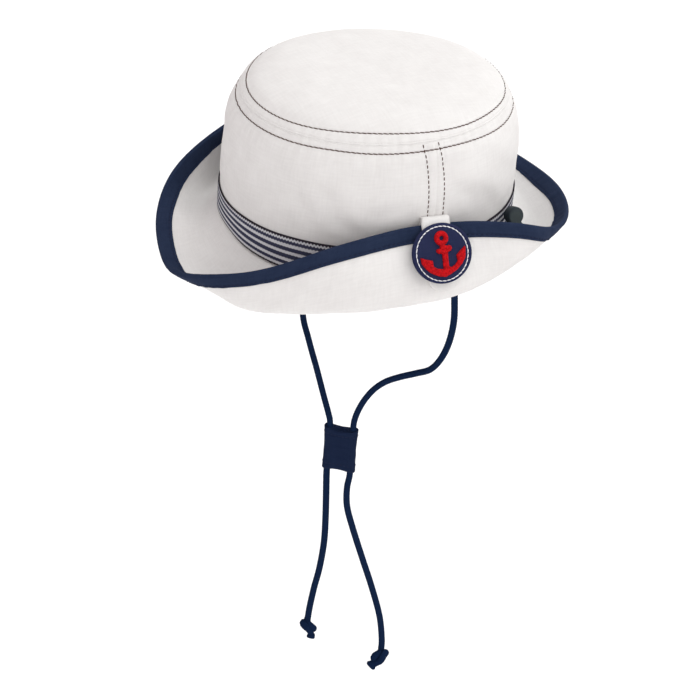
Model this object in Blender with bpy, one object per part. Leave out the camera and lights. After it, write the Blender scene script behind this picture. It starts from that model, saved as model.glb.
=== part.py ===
"""A child's cloth sun hat: a soft white crown with a separate tip, a striped band, a brim with
a dark bound edge that is turned up at both sides, a cloth tab that folds over the edge of the
wearer's left side under a round anchor badge, a small size stopper at the back of the band,
and two chin cords that meet in a cloth slider and end in knots.

Metres. +Z is up along the crown, the hat's front is -Y and the wearer's left is +X. The origin
is the middle of the head opening, where the crown meets the brim. A bearing is an angle in
degrees round the crown: 0 at the front, 90 at the wearer's left, 180 at the back.
"""

import math

import bmesh
import bpy
import numpy as np
from mathutils import Matrix

# Crown
CROWN_WIDTH = 0.156
CROWN_LENGTH = 0.176
CROWN_RISE = 0.074  # from the head opening to the seam between side and tip
CROWN_INSET = 0.0103  # how far that seam stands inside the base
CROWN_LEAN = 0.0012  # how far the seam leans back over the base
TIP_RISE = 0.0142
CLOTH_PUFF = 0.004  # how far the slack cloth puffs out at its fullest
CROWN_CLOTH = 0.0018

# Brim and its bound edge
BRIM_WIDTH = 0.050
BRIM_CLOTH = 0.0018
BOUND_CLOTH = 0.0010  # the brim's cloth pressed thin inside the binding
BOUND_SLOPE = 0.0010  # the stretch over which it is pressed down to that
BINDING_DEPTH = 0.0090
BINDING_CLOTH = 0.0008

# Band round the crown
BAND_TOP = 0.0175  # height of the band's upper edge over the head opening
BAND_CLOTH = 0.0010

# Tab and badge on the wearer's left
TAB_BEARING = 87.4
TAB_TOP_BEARING = 88.4  # the tab runs slightly aslant up to the side seam
TAB_WIDTH = 0.0170
TAB_CLOTH = 0.0016
TAB_LOFT = 0.0042  # how high the fold stands over the edge of the brim
TAB_RISE = 0.0049  # the fold of the tab stands above the edge it passes over
TAB_REACH = 0.0365  # how far the tab runs down the outside of the brim
BADGE_BEARING = 86.8
BADGE_DROP = 0.0165  # from the edge of the brim down to the badge's middle
BADGE_DIAMETER = 0.0334
BADGE_THICKNESS = 0.0030
ANCHOR_HEIGHT = 0.0250
ANCHOR_ASIDE = 0.0007  # the anchor sits a little towards the front of its disc
ANCHOR_RELIEF = 0.0011

# Chin cords, their slider and knots
CORD_DIAMETER = 0.0040
CORD_TAB_BEARING = 105.0
CORD_TAB_WIDTH = 0.012
CORD_TAB_HEIGHT = 0.014
CORD_TAB_THICKNESS = 0.0040
SLIDER_WIDTH = 0.0225
SLIDER_HEIGHT = 0.0326
SLIDER_THICKNESS = 0.0072
SLIDER_TURN = 49.5  # degrees from +X to the slider's wide side
SLIDER_MIDDLE = (0.0, -0.0052, -0.1829)
CHANNEL_SPACING = 0.0156
CHANNEL_PLAY = 0.0003
KNOT_DIAMETER = 0.0115
KNOT_LENGTH = 0.0115
KNOT_TAIL = 0.0045

# Size stopper on its thin cord
STOPPER_BEARING = 128.0
STOPPER_HEIGHT = 0.0115  # height of its middle over the head opening
STOPPER_STANDOFF = 0.0085  # from the crown's base oval to the stopper's middle
STOPPER_LOBE = 0.0084
STOPPER_SPACING = 0.0086
STOPPER_THICKNESS = 0.0070
STOPPER_FACING = 84.0  # bearing that the stopper's flat side faces
STOPPER_TILT = 22.0
STRING_DIAMETER = 0.0018
STRING_LOOP = 0.0050  # how far the string stands out in front of the stopper
STRING_BACK = 0.0024  # how far its two ends run on behind the stopper

GAP = 0.0003
SEAM_GAP = 0.0004

# Mesh fineness
CROWN_SIDES = 60
BRIM_SIDES = 72
TURN_BEARING = 16.0
TURN_CLOSENESS = 18.0
BADGE_SIDES = 28
CORD_POINTS = 38

# The crown's profile from the head opening up to the tip's seam.
# Columns: rise as a share of CROWN_RISE, inset as a share of CROWN_INSET.
SIDE_PROFILE = (
    (0.00, 0.00),
    (0.24, 0.02),
    (0.48, 0.03),
    (0.69, 0.15),
    (0.82, 0.34),
    (0.90, 0.56),
    (0.945, 0.78),
    (1.00, 1.00),
)

# The tip's profile from its seam to its middle.
# Columns: rise as a share of TIP_RISE, reach as a share of the seam's half sizes.
TIP_PROFILE = (
    (0.00, 1.00),
    (0.26, 0.957),
    (0.52, 0.90),
    (0.72, 0.80),
    (0.89, 0.60),
    (0.97, 0.30),
    (1.00, 0.00),
)

# Where the crown's cloth puffs out over its even oval, more at the wearer's right.
# Columns: bearing, outward and upward as shares of CLOTH_PUFF.
FULLNESS = (
    (-165, 0.12, 0.00),
    (-125, 0.30, 0.05),
    (-90, 0.75, 0.20),
    (-60, 1.00, 0.20),
    (-35, 0.40, 0.00),
    (-15, 0.05, 0.00),
    (20, 0.00, 0.00),
    (90, 0.00, 0.00),
    (140, 0.00, 0.00),
    (170, 0.00, 0.00),
)

# Sections across the brim. Each is one smooth curve from the crown's seam to the edge, drawn
# by the seam, two guides and the edge. Columns: bearing; seam, height of the seam; edge_out
# and edge_up, place of the edge; out_1, down_1, out_2 and down_2, places of the two guides
# from the seam. All but the bearing are shares of BRIM_WIDTH.
BRIM_SECTIONS = (
    (-165, -0.02, 0.57, 0.06, 0.16, 0.16, 0.30, 0.14),
    (-140, -0.08, 0.64, 0.20, 0.18, 0.20, 0.52, 0.20),
    (-120, -0.10, 0.52, 0.48, 0.28, 0.14, 0.80, 0.16),
    (-105, -0.12, 0.28, 0.60, 0.34, 0.12, 0.82, 0.18),
    (-90, -0.12, 0.15, 0.66, 0.36, 0.12, 0.80, 0.20),
    (-75, -0.12, 0.17, 0.62, 0.36, 0.12, 0.66, 0.22),
    (-60, -0.10, 0.26, 0.52, 0.34, 0.14, 0.42, 0.24),
    (-47, -0.08, 0.39, 0.40, 0.30, 0.16, 0.34, 0.26),
    (-35, -0.04, 0.59, 0.19, 0.20, 0.20, 0.36, 0.24),
    (-22, 0.00, 0.712, -0.06, 0.18, 0.18, 0.40, 0.16),
    (-8, 0.03, 0.76, -0.21, 0.16, 0.24, 0.44, 0.28),
    (3, 0.01, 0.80, -0.235, 0.16, 0.28, 0.54, 0.42),
    (11, -0.03, 0.79, -0.135, 0.24, 0.30, 0.56, 0.46),
    (20, -0.06, 0.73, 0.02, 0.34, 0.32, 0.66, 0.44),
    (30, -0.08, 0.63, 0.17, 0.42, 0.32, 0.73, 0.48),
    (40, -0.09, 0.49, 0.33, 0.44, 0.28, 0.76, 0.43),
    (51, -0.10, 0.35, 0.50, 0.40, 0.21, 0.80, 0.32),
    (63, -0.12, 0.21, 0.596, 0.37, 0.13, 0.79, 0.24),
    (76, -0.12, 0.10, 0.634, 0.39, 0.12, 0.73, 0.20),
    (90, -0.12, 0.08, 0.616, 0.39, 0.12, 0.71, 0.12),
    (104, -0.12, 0.21, 0.584, 0.37, 0.08, 0.70, 0.00),
    (115, -0.11, 0.48, 0.53, 0.32, 0.04, 0.75, -0.10),
    (126, -0.10, 0.63, 0.35, 0.22, 0.08, 0.58, -0.02),
    (138, -0.08, 0.68, 0.22, 0.16, 0.14, 0.38, 0.08),
    (158, -0.04, 0.63, 0.15, 0.16, 0.16, 0.32, 0.13),
    (176, -0.02, 0.576, 0.08, 0.16, 0.16, 0.30, 0.14),
)

# The anchor on the badge, from its neck round its right side to its neck again.
# Columns: to the right of and above the badge's middle, as shares of ANCHOR_HEIGHT.
ANCHOR_OUTLINE = (
    (0.09, 0.18), (0.14, 0.16), (0.20, 0.16), (0.24, 0.13), (0.25, 0.08), (0.22, 0.03),
    (0.17, 0.02), (0.14, 0.00), (0.13, -0.14), (0.12, -0.28), (0.16, -0.32), (0.26, -0.28),
    (0.33, -0.21), (0.32, -0.08), (0.44, 0.01), (0.56, 0.09), (0.55, -0.05), (0.52, -0.18),
    (0.43, -0.29), (0.31, -0.39), (0.16, -0.46), (0.01, -0.51), (-0.12, -0.48), (-0.24, -0.42),
    (-0.33, -0.36), (-0.42, -0.26), (-0.49, -0.14), (-0.50, 0.00), (-0.37, -0.06),
    (-0.23, -0.11), (-0.23, -0.24), (-0.14, -0.30), (-0.02, -0.33), (-0.01, -0.18),
    (0.00, -0.01), (-0.03, 0.00), (-0.08, 0.01), (-0.12, 0.05), (-0.12, 0.10), (-0.08, 0.12),
    (-0.03, 0.12), (-0.02, 0.17),
)
# Its ring: middle to the right and above, radius and the hole's radius, in the same shares.
ANCHOR_RING = (0.044, 0.332, 0.164, 0.046)

# The tab's rows outside the brim: how far down, as a share of TAB_REACH, and their width, as a
# share of the tab's own.
TAB_DROPS = (0.05, 0.18, 0.31, 0.47, 0.65, 0.83, 0.94, 1.00)
TAB_TAPER = (1.00, 1.00, 1.00, 1.00, 1.00, 0.96, 0.80, 0.45)

# Routes of the cords' middle lines, in millimetres, chosen point by point.
LEFT_CORD_ROUTE = (
    (70.4, 21.7, -11.0),
    (70.4, 21.7, -18.0),
    (71.5, 22.1, -28.5),
    (73.0, 22.6, -44.0),
    (71.6, 22.1, -59.5),
    (67.4, 20.7, -74.0),
    (60.4, 18.5, -86.3),
    (50.0, 15.2, -95.3),
    (38.5, 11.5, -104.6),
    (28.0, 8.1, -114.2),
    (19.5, 5.4, -124.8),
    (12.9, 3.2, -136.5),
    (8.3, 1.8, -147.5),
    (5.9, 1.0, -156.0),
    (5.06, 0.73, -162.0),
    (5.06, 0.73, -172.0),
    (5.06, 0.73, -194.0),
    (5.06, 0.73, -204.0),
    (5.0, -0.5, -215.0),
    (5.0, 0.7, -231.0),
    (5.4, 6.3, -252.0),
    (6.0, 15.2, -281.0),
    (6.7, 24.9, -312.0),
    (7.6, 33.0, -342.0),
    (8.0, 36.6, -366.0),
    (8.0, 36.9, -377.0),
)
RIGHT_CORD_ROUTE = (
    (-70.4, 21.7, -11.0),
    (-70.4, 21.7, -18.0),
    (-71.0, 19.5, -28.0),
    (-70.3, 13.5, -42.0),
    (-66.3, 4.0, -62.0),
    (-58.2, -6.0, -84.0),
    (-45.9, -13.7, -102.5),
    (-32.5, -15.4, -115.0),
    (-21.2, -14.5, -130.5),
    (-11.9, -13.0, -147.0),
    (-6.2, -12.0, -157.0),
    (-5.06, -11.13, -163.0),
    (-5.06, -11.13, -173.0),
    (-5.06, -11.13, -194.0),
    (-5.06, -11.13, -206.0),
    (-4.7, -10.5, -225.0),
    (-4.4, -9.9, -246.0),
    (-4.5, -9.8, -267.0),
    (-5.3, -11.5, -290.0),
    (-6.5, -14.1, -309.0),
    (-7.5, -16.0, -327.0),
    (-8.0, -17.0, -341.5),
)

COLOURS = {
    "white cloth": ((0.82, 0.80, 0.77), 0.95),
    "navy cloth": ((0.025, 0.04, 0.085), 0.90),
    "striped cloth": ((0.30, 0.31, 0.37), 0.90),
    "badge cloth": ((0.03, 0.04, 0.09), 0.90),
    "red thread": ((0.55, 0.012, 0.02), 0.70),
    "navy cord": ((0.016, 0.028, 0.07), 0.85),
    "stopper plastic": ((0.03, 0.05, 0.05), 0.55),
}


def clear_scene():
    for thing in list(bpy.data.objects):
        bpy.data.objects.remove(thing, do_unlink=True)


def material(name):
    found = bpy.data.materials.get(name)
    if found:
        return found
    colour, roughness = COLOURS[name]
    made = bpy.data.materials.new(name)
    made.use_nodes = True
    shader = made.node_tree.nodes["Principled BSDF"]
    shader.inputs["Base Color"].default_value = (*colour, 1.0)
    shader.inputs["Roughness"].default_value = roughness
    shader.inputs["Metallic"].default_value = 0.0
    return made


def add_mesh(name, points, faces, finish):
    """One object of the given points and faces."""
    mesh = bpy.data.meshes.new(name)
    mesh.from_pydata([tuple(map(float, point)) for point in points], [], faces)
    form = bmesh.new()
    form.from_mesh(mesh)
    finish_form(mesh, form, finish)


def finish_form(mesh, form, finish):
    """Turn a form's faces outwards and show it as an object of one material."""
    bmesh.ops.recalc_face_normals(form, faces=form.faces)
    if form.calc_volume(signed=True) < 0:
        bmesh.ops.reverse_faces(form, faces=form.faces)
    form.to_mesh(mesh)
    form.free()
    mesh.shade_smooth()
    mesh.set_sharp_from_angle(angle=math.radians(40))
    mesh.materials.append(material(finish))
    thing = bpy.data.objects.new(mesh.name, mesh)
    bpy.context.scene.collection.objects.link(thing)


def unit(vectors):
    return vectors / np.linalg.norm(vectors, axis=-1, keepdims=True)


def ring_spline(rows, bearings):
    """Every column of a table read at any bearing, on the closed cubic spline through its rows."""
    table = np.array(rows, float)
    at = np.radians(table[:, 0])
    values = table[:, 1:]
    count = len(at)
    step = np.diff(np.append(at, at[0] + 2 * math.pi))
    system = np.zeros((count, count))
    change = np.zeros_like(values)
    for here in range(count):
        before, after = (here - 1) % count, (here + 1) % count
        system[here, before] += step[before]
        system[here, here] += 2 * (step[before] + step[here])
        system[here, after] += step[here]
        rise = (values[after] - values[here]) / step[here]
        fall = (values[here] - values[before]) / step[before]
        change[here] = 6 * (rise - fall)
    bend = np.linalg.solve(system, change)
    turned = (np.radians(bearings) - at[0]) % (2 * math.pi)
    edges = np.append(at - at[0], 2 * math.pi)
    low = np.clip(np.searchsorted(edges, turned, side="right") - 1, 0, count - 1)
    high = (low + 1) % count
    past = (turned - edges[low])[:, None]
    width = step[low][:, None]
    left = width - past
    curve = (bend[low] * left**3 + bend[high] * past**3) / (6 * width)
    curve += (values[low] / width - bend[low] * width / 6) * left
    curve += (values[high] / width - bend[high] * width / 6) * past
    return curve


def smooth_rows(rows, per_row):
    """A table's rows with others between them, on a smooth curve through them all."""
    table = np.array(rows, float)
    last = len(table) - 1
    at = np.linspace(0, last, last * per_row + 1)
    low = np.clip(at.astype(int), 0, last - 1)
    past = (at - low)[:, None]
    before = table[np.clip(low - 1, 0, last)]
    here, after = table[low], table[low + 1]
    beyond = table[np.clip(low + 2, 0, last)]
    start, end = (after - before) / 2, (beyond - here) / 2
    curve = (2 * past**3 - 3 * past**2 + 1) * here + (past**3 - 2 * past**2 + past) * start
    return curve + (3 * past**2 - 2 * past**3) * after + (past**3 - past**2) * end


def all_round(count):
    return np.arange(count) * (360.0 / count) - 180.0


def brim_bearings():
    """Bearings all round, closer together where the brim turns from flared to upright."""
    even = all_round(BRIM_SIDES)
    return even - TURN_CLOSENESS * np.sin(np.radians(even - TURN_BEARING))


def oval(bearings, half_width, half_length, height):
    """Points on a level oval round the crown's leaning middle line."""
    turn = np.radians(bearings)
    back = CROWN_LEAN * height / CROWN_RISE
    x = half_width * np.sin(turn)
    y = back - half_length * np.cos(turn)
    return np.stack(np.broadcast_arrays(x, y, height), axis=-1)


def outward(bearings):
    """Level unit vectors square to the crown's base oval."""
    turn = np.radians(bearings)
    x = np.sin(turn) / CROWN_WIDTH
    y = -np.cos(turn) / CROWN_LENGTH
    return unit(np.stack([x, y, 0 * x], axis=-1))


def seam_height(bearings):
    return ring_spline(BRIM_SECTIONS, bearings)[:, 0] * BRIM_WIDTH


def crown_ring(bearings, rise, half_width, half_length, fullness):
    """One ring of the crown's outer face, puffed out by its fullness."""
    puff = ring_spline(FULLNESS, bearings) * CLOTH_PUFF * fullness
    height = rise + puff[:, 1]
    return oval(bearings, half_width + puff[:, 0], half_length + puff[:, 0], height)


def side_ring(bearings, rise_share, inset_share):
    """A ring of the crown's side. Its foot follows the brim's seam."""
    fullness = np.clip((rise_share - 0.6) / 0.35, 0, 1)
    fullness = fullness * fullness * (3 - 2 * fullness)
    inset = inset_share * CROWN_INSET
    foot_share = max(0.0, 1 - rise_share / SIDE_PROFILE[1][0])
    foot = (seam_height(bearings) + GAP + BRIM_CLOTH / 2) * foot_share
    ring = crown_ring(
        bearings, rise_share * CROWN_RISE, CROWN_WIDTH / 2 - inset, CROWN_LENGTH / 2 - inset, fullness
    )
    ring[:, 2] += foot
    return ring


def tip_ring(bearings, rise_share, reach_share):
    half_width = (CROWN_WIDTH / 2 - CROWN_INSET) * reach_share
    half_length = (CROWN_LENGTH / 2 - CROWN_INSET) * reach_share
    rise = CROWN_RISE + rise_share * TIP_RISE
    return crown_ring(bearings, rise, half_width, half_length, reach_share**2)


def crown_grids(bearings):
    """Outer and inner faces of the crown's side and tip, which share the seam's row."""
    side = [side_ring(bearings, *row) for row in smooth_rows(SIDE_PROFILE, 1)]
    tip = [tip_ring(bearings, *row) for row in smooth_rows(TIP_PROFILE, 1)[1:-1]]
    outer = np.array(side + tip)
    along = np.gradient(outer, axis=0)
    round_it = np.roll(outer, -1, axis=1) - np.roll(outer, 1, axis=1)
    inner = outer - CROWN_CLOTH * unit(np.cross(round_it, along))
    seam = len(side) - 1
    return (outer[: seam + 1], inner[: seam + 1]), (outer[seam:], inner[seam:])


def band_offset(bearings, rise_share, stand_off):
    """The crown's side at one height, moved straight out from it."""
    inset = np.interp(rise_share, *np.array(SIDE_PROFILE).T)
    return side_ring(bearings, rise_share, inset) + stand_off * outward(bearings)


def ring_faces(rings, sides, closed_ends):
    """Quads between rings of points that follow one another, and back to the first if closed."""
    faces = []
    for row in range(rings if closed_ends else rings - 1):
        first, second = row * sides, (row + 1) % rings * sides
        for side in range(sides):
            beside = (side + 1) % sides
            faces.append((first + side, first + beside, second + beside, second + side))
    return faces


def closed_band(name, rings, finish):
    """A solid whose rings of points run round its section and back to the first."""
    rings = np.asarray(rings)
    faces = ring_faces(len(rings), rings.shape[1], closed_ends=True)
    add_mesh(name, rings.reshape(-1, 3), faces, finish)


def capped_stack(name, rings, first_pole, last_pole, finish):
    """A solid whose rings run from one pole to the other."""
    rings = np.asarray(rings)
    count, sides = rings.shape[:2]
    faces = ring_faces(count, sides, closed_ends=False)
    points = np.concatenate([rings.reshape(-1, 3), [first_pole], [last_pole]])
    start, end = count * sides, count * sides + 1
    for side in range(sides):
        beside = (side + 1) % sides
        faces.append((start, beside, side))
        faces.append((end, (count - 1) * sides + side, (count - 1) * sides + beside))
    add_mesh(name, points, faces, finish)


def build_crown():
    bearings = all_round(CROWN_SIDES)
    (side_outer, side_inner), (tip_outer, tip_inner) = crown_grids(bearings)
    closed_band("crown_side", list(side_outer) + list(side_inner[::-1]), "white cloth")
    lift = np.array([0, 0, SEAM_GAP])
    top = np.array([0, CROWN_LEAN * (1 + TIP_RISE / CROWN_RISE), CROWN_RISE + TIP_RISE]) + lift
    rings = list(tip_outer[::-1] + lift) + list(tip_inner + lift)
    capped_stack("crown_tip", rings, top, top - [0, 0, CROWN_CLOTH], "white cloth")


def brim_curve(bearings, shares):
    """Points of the brim's middle face: a cubic curve of two guides across each section."""
    columns = ring_spline(BRIM_SECTIONS, bearings) * BRIM_WIDTH
    seam, edge_out, edge_up, out_1, down_1, out_2, down_2 = columns.T[..., None]
    share = np.asarray(shares)[None, :]
    start = (1 - share) ** 3
    first = 3 * share * (1 - share) ** 2
    second = 3 * share**2 * (1 - share)
    end = share**3
    out = first * out_1 + second * out_2 + end * edge_out - start * CROWN_CLOTH / 2
    up = start * seam + first * (seam - down_1) + second * (seam - down_2) + end * edge_up
    foot = oval(bearings, CROWN_WIDTH / 2, CROWN_LENGTH / 2, 0.0)
    points = foot[:, None] + out[..., None] * outward(bearings)[:, None]
    points[..., 2] = up
    return points


def brim_lines(bearings, from_edge):
    """Points, upward normals and edgeward directions at distances from the brim's edge."""
    shares = np.linspace(0, 1, 61)
    turn = 0.5
    fine = brim_curve(bearings, shares)
    round_it = brim_curve(bearings + turn, shares) - brim_curve(bearings - turn, shares)
    along = np.gradient(fine, axis=1)
    normal = unit(np.cross(along, round_it))
    steps = np.linalg.norm(np.diff(fine, axis=1), axis=-1)
    walked = np.concatenate([np.zeros((len(fine), 1)), np.cumsum(steps, axis=1)], axis=1)
    places = walked[:, -1:] - np.asarray(from_edge, float)
    found = np.empty((3, *places.shape, 3))
    for row in range(len(fine)):
        for axis in range(3):
            for kind, grid in enumerate((fine, normal, along)):
                found[kind, row, :, axis] = np.interp(places[row], walked[row], grid[row, :, axis])
    edgeward = unit(found[2])
    return found[0], unit(found[1]), edgeward


def brim_lengths(bearings):
    fine = brim_curve(bearings, np.linspace(0, 1, 61))
    return np.linalg.norm(np.diff(fine, axis=1), axis=-1).sum(axis=1)


def binding_reach():
    """How far the binding's outer face stands from the brim's middle face."""
    return BOUND_CLOTH / 2 + GAP + BINDING_CLOTH


def build_brim():
    """The brim's cloth, pressed thin where the binding holds its edge."""
    bearings = brim_bearings()
    edge = binding_reach() + GAP / 2
    shoulder = BINDING_DEPTH + GAP + BOUND_SLOPE
    widths = brim_lengths(bearings)
    rows = [shoulder + (widths - shoulder) * share for share in np.linspace(1, 0, 8)]
    rows += [np.full_like(widths, BINDING_DEPTH + GAP)]
    rows += [np.full_like(widths, BINDING_DEPTH / 2), np.full_like(widths, edge)]
    half = [BRIM_CLOTH / 2] * 8 + [BOUND_CLOTH / 2] * 3
    middle, normal, _ = brim_lines(bearings, np.array(rows).T)
    offset = normal * np.array(half)[None, :, None]
    upper = np.swapaxes(middle + offset, 0, 1)
    lower = np.swapaxes(middle - offset, 0, 1)
    closed_band("brim", list(upper) + list(lower[::-1]), "white cloth")


def build_binding():
    """The tape folded round the brim's edge, both of its faces and the fold."""
    bearings = brim_bearings()
    outer, inner = binding_reach(), BOUND_CLOTH / 2 + GAP
    nose = binding_reach()
    inner_nose = nose - BINDING_CLOTH
    rows = [BINDING_DEPTH, BINDING_DEPTH / 2, nose]
    middle, normal, edgeward = brim_lines(bearings, np.tile(rows, (len(bearings), 1)))
    lines = []
    for reach, nose_reach, side in ((outer, nose, -1), (inner, inner_nose, 1)):
        for row in (0, 1, 2):
            lines.append(middle[:, row] + side * reach * normal[:, row])
        lines.append(middle[:, 2] + nose_reach * edgeward[:, 2])
        for row in (2, 1, 0):
            lines.append(middle[:, row] - side * reach * normal[:, row])
    closed_band("brim_binding", lines, "navy cloth")


def build_band():
    """The striped band, a cloth ring round the foot of the crown."""
    bearings = all_round(CROWN_SIDES)
    top = BAND_TOP / CROWN_RISE
    levels = (0.0, top)
    near = [band_offset(bearings, level, GAP) for level in levels]
    far = [band_offset(bearings, level, GAP + BAND_CLOTH) for level in levels]
    for ring in (near[0], far[0]):
        ring[:, 2] += GAP
    closed_band("hat_band", near + far[::-1], "striped cloth")


def slab(name, middle, normal, thickness, finish):
    """A solid sheet: a grid of middle points given its thickness both ways."""
    half = normal * thickness / 2
    rows, columns = middle.shape[:2]
    upper, lower = middle + half, middle - half
    rings = []
    for row in range(rows):
        rings.append(np.concatenate([upper[row], lower[row][::-1]]))
    rings = np.array(rings)
    sides = rings.shape[1]
    faces = ring_faces(rows, sides, closed_ends=False)
    for row, order in ((0, 1), (rows - 1, -1)):
        for column in range(columns - 1):
            start = row * sides
            quad = (column, column + 1, sides - 2 - column, sides - 1 - column)
            faces.append(tuple(start + corner for corner in quad)[::order])
    add_mesh(name, rings.reshape(-1, 3), faces, finish)


def tab_sheet():
    """Middle points of the tab: up the crown, over the brim's edge and down its outside."""
    half_turn = math.degrees(TAB_WIDTH / 2 / (CROWN_LENGTH / 2 + binding_reach()))
    bearings = np.linspace(TAB_BEARING - half_turn, TAB_BEARING + half_turn, 4)
    reach = binding_reach() + GAP + TAB_CLOTH / 2
    drops = TAB_REACH * np.array(TAB_DROPS)
    edge, normal, edgeward = brim_lines(bearings, np.tile(drops, (len(bearings), 1)))
    outside = edge - reach * normal
    middle_line = outside.mean(axis=0)
    outside = middle_line + (outside - middle_line) * np.array(TAB_TAPER)[:, None]
    foot_height = BAND_TOP + GAP + TAB_CLOTH
    knee_height = float(edge[:, 0, 2].mean()) + TAB_RISE
    bearings = bearings + TAB_TOP_BEARING - TAB_BEARING
    legs = []
    for height in (foot_height, knee_height):
        legs.append(band_offset(bearings, height / CROWN_RISE, GAP + TAB_CLOTH / 2))
    foot, knee = legs
    out = outward(bearings)
    over = []
    for share in (0.2, 0.4, 0.6, 0.8):
        start, end = (1 - share) ** 3, share**3
        first, second = 3 * share * (1 - share) ** 2, 3 * share**2 * (1 - share)
        rising = knee + TAB_LOFT * (0.7 * out + [0, 0, 0.3])
        falling = outside[:, 0] + TAB_LOFT * edgeward[:, 0]
        over.append(start * knee + first * rising + second * falling + end * outside[:, 0])
    return np.array([foot, knee, *over, *np.swapaxes(outside, 0, 1)])


def build_tab():
    middle = tab_sheet()
    along = np.gradient(middle, axis=0)
    across = np.gradient(middle, axis=1)
    normal = unit(np.cross(across, along))
    slab("side_tab", middle, normal, TAB_CLOTH, "white cloth")


def badge_frame():
    """The badge's place on the brim: its middle's back face, and its right, up and out axes."""
    bearing = np.array([BADGE_BEARING])
    point, normal, edgeward = brim_lines(bearing, np.array([[BADGE_DROP]]))
    out = -normal[0, 0]
    up = unit(edgeward[0, 0] - out * np.dot(out, edgeward[0, 0]))
    right = np.cross(up, out)
    middle = point[0, 0]
    reach = binding_reach() + GAP + TAB_CLOTH
    spread = math.degrees(BADGE_DIAMETER / 2 / (CROWN_LENGTH / 2))
    near = BADGE_BEARING + np.linspace(-spread, spread, 9)
    drops = BADGE_DROP + np.linspace(-1, 1, 9) * BADGE_DIAMETER / 2
    grid, face, _ = brim_lines(near, np.tile(drops, (len(near), 1)))
    skin = grid - (binding_reach() + GAP) * face
    tab = tab_sheet().reshape(-1, 3) + TAB_CLOTH / 2 * out
    under = np.concatenate([skin.reshape(-1, 3), tab])
    level = np.hypot((under - middle) @ right, (under - middle) @ up)
    heights = ((under - middle) @ out)[level < BADGE_DIAMETER / 2]
    seat = max(reach, float(heights.max())) + GAP
    return middle + seat * out, right, up, out


def lathe(name, profile, origin, right, up, out, sides, finish):
    """A turned solid: rows of radius and height about the out axis, closed at both poles."""
    turn = np.arange(sides) * (2 * math.pi / sides)
    wheel = np.cos(turn)[:, None] * right + np.sin(turn)[:, None] * up
    rings = [origin + radius * wheel + height * out for radius, height in profile]
    first = origin + profile[0][1] * out
    last = origin + profile[-1][1] * out
    capped_stack(name, rings, first, last, finish)


def build_badge():
    """A padded round badge with a rolled rim."""
    origin, right, up, out = badge_frame()
    radius, depth = BADGE_DIAMETER / 2, BADGE_THICKNESS
    roll = depth * 0.4
    profile = (
        (radius - roll, 0.0),
        (radius, roll),
        (radius, depth - roll),
        (radius - roll * 0.5, depth - roll * 0.15),
        (radius - roll, depth),
    )
    lathe("badge_disc", profile, origin, right, up, out, BADGE_SIDES, "badge cloth")


def arc(middle_x, middle_y, radius, start, end, steps):
    turn = np.radians(np.linspace(start, end, steps))
    return [(middle_x + radius * math.cos(a), middle_y + radius * math.sin(a)) for a in turn]


def anchor_outline():
    """The anchor's outline, its ring on top, and the hole in the ring, from the badge's middle."""
    x, y, radius, hole = (share * ANCHOR_HEIGHT for share in ANCHOR_RING)
    body = np.array(ANCHOR_OUTLINE) * ANCHOR_HEIGHT
    left = math.degrees(math.atan2(body[-1, 1] - y, body[-1, 0] - x))
    right = math.degrees(math.atan2(body[0, 1] - y, body[0, 0] - x)) - 360
    ring = arc(x, y, radius, left, right, 16)[1:-1]
    return [*body.tolist(), *ring], arc(x, y, hole, 0, 315, 8)


def extrude_outline(name, loops, depth, place, finish):
    """A plate of the given depth: one outline with holes, filled, extruded along +Z, placed."""
    form = bmesh.new()
    edges = []
    for loop in loops:
        corners = [form.verts.new((x, y, 0.0)) for x, y in loop]
        for here, after in zip(corners, corners[1:] + corners[:1]):
            edges.append(form.edges.new((here, after)))
    bmesh.ops.triangle_fill(form, use_beauty=True, use_dissolve=False, edges=edges)
    grown = bmesh.ops.extrude_face_region(form, geom=list(form.faces))
    moved = [part for part in grown["geom"] if isinstance(part, bmesh.types.BMVert)]
    bmesh.ops.translate(form, vec=(0.0, 0.0, depth), verts=moved)
    form.transform(place)
    finish_form(bpy.data.meshes.new(name), form, finish)


def place_matrix(origin, right, up, out):
    rows = np.column_stack([right, up, out, origin])
    return Matrix([[*map(float, row)] for row in rows] + [[0, 0, 0, 1]])


def build_anchor():
    """The raised anchor on the badge's face."""
    origin, right, up, out = badge_frame()
    middle = origin + (BADGE_THICKNESS + GAP) * out - ANCHOR_ASIDE * right
    place = place_matrix(middle, right, up, out)
    extrude_outline("badge_anchor", anchor_outline(), ANCHOR_RELIEF, place, "red thread")


def smooth_route(route, count):
    """A cord's middle line: points at even steps on the smooth curve through its route."""
    fine = smooth_rows(np.array(route) / 1000.0, 24)
    steps = np.linalg.norm(np.diff(fine, axis=0), axis=1)
    walked = np.concatenate([[0], np.cumsum(steps)])
    even = np.linspace(0, walked[-1], count)
    return np.stack([np.interp(even, walked, fine[:, axis]) for axis in range(3)], axis=1)


def add_cord(name, points, diameter, finish):
    curve = bpy.data.curves.new(name, "CURVE")
    curve.dimensions = "3D"
    curve.bevel_depth = diameter / 2
    curve.bevel_resolution = 2
    curve.use_fill_caps = True
    line = curve.splines.new("POLY")
    line.points.add(len(points) - 1)
    for target, point in zip(line.points, points):
        target.co = (*map(float, point), 1.0)
    curve.materials.append(material(finish))
    thing = bpy.data.objects.new(name, curve)
    bpy.context.scene.collection.objects.link(thing)


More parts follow.
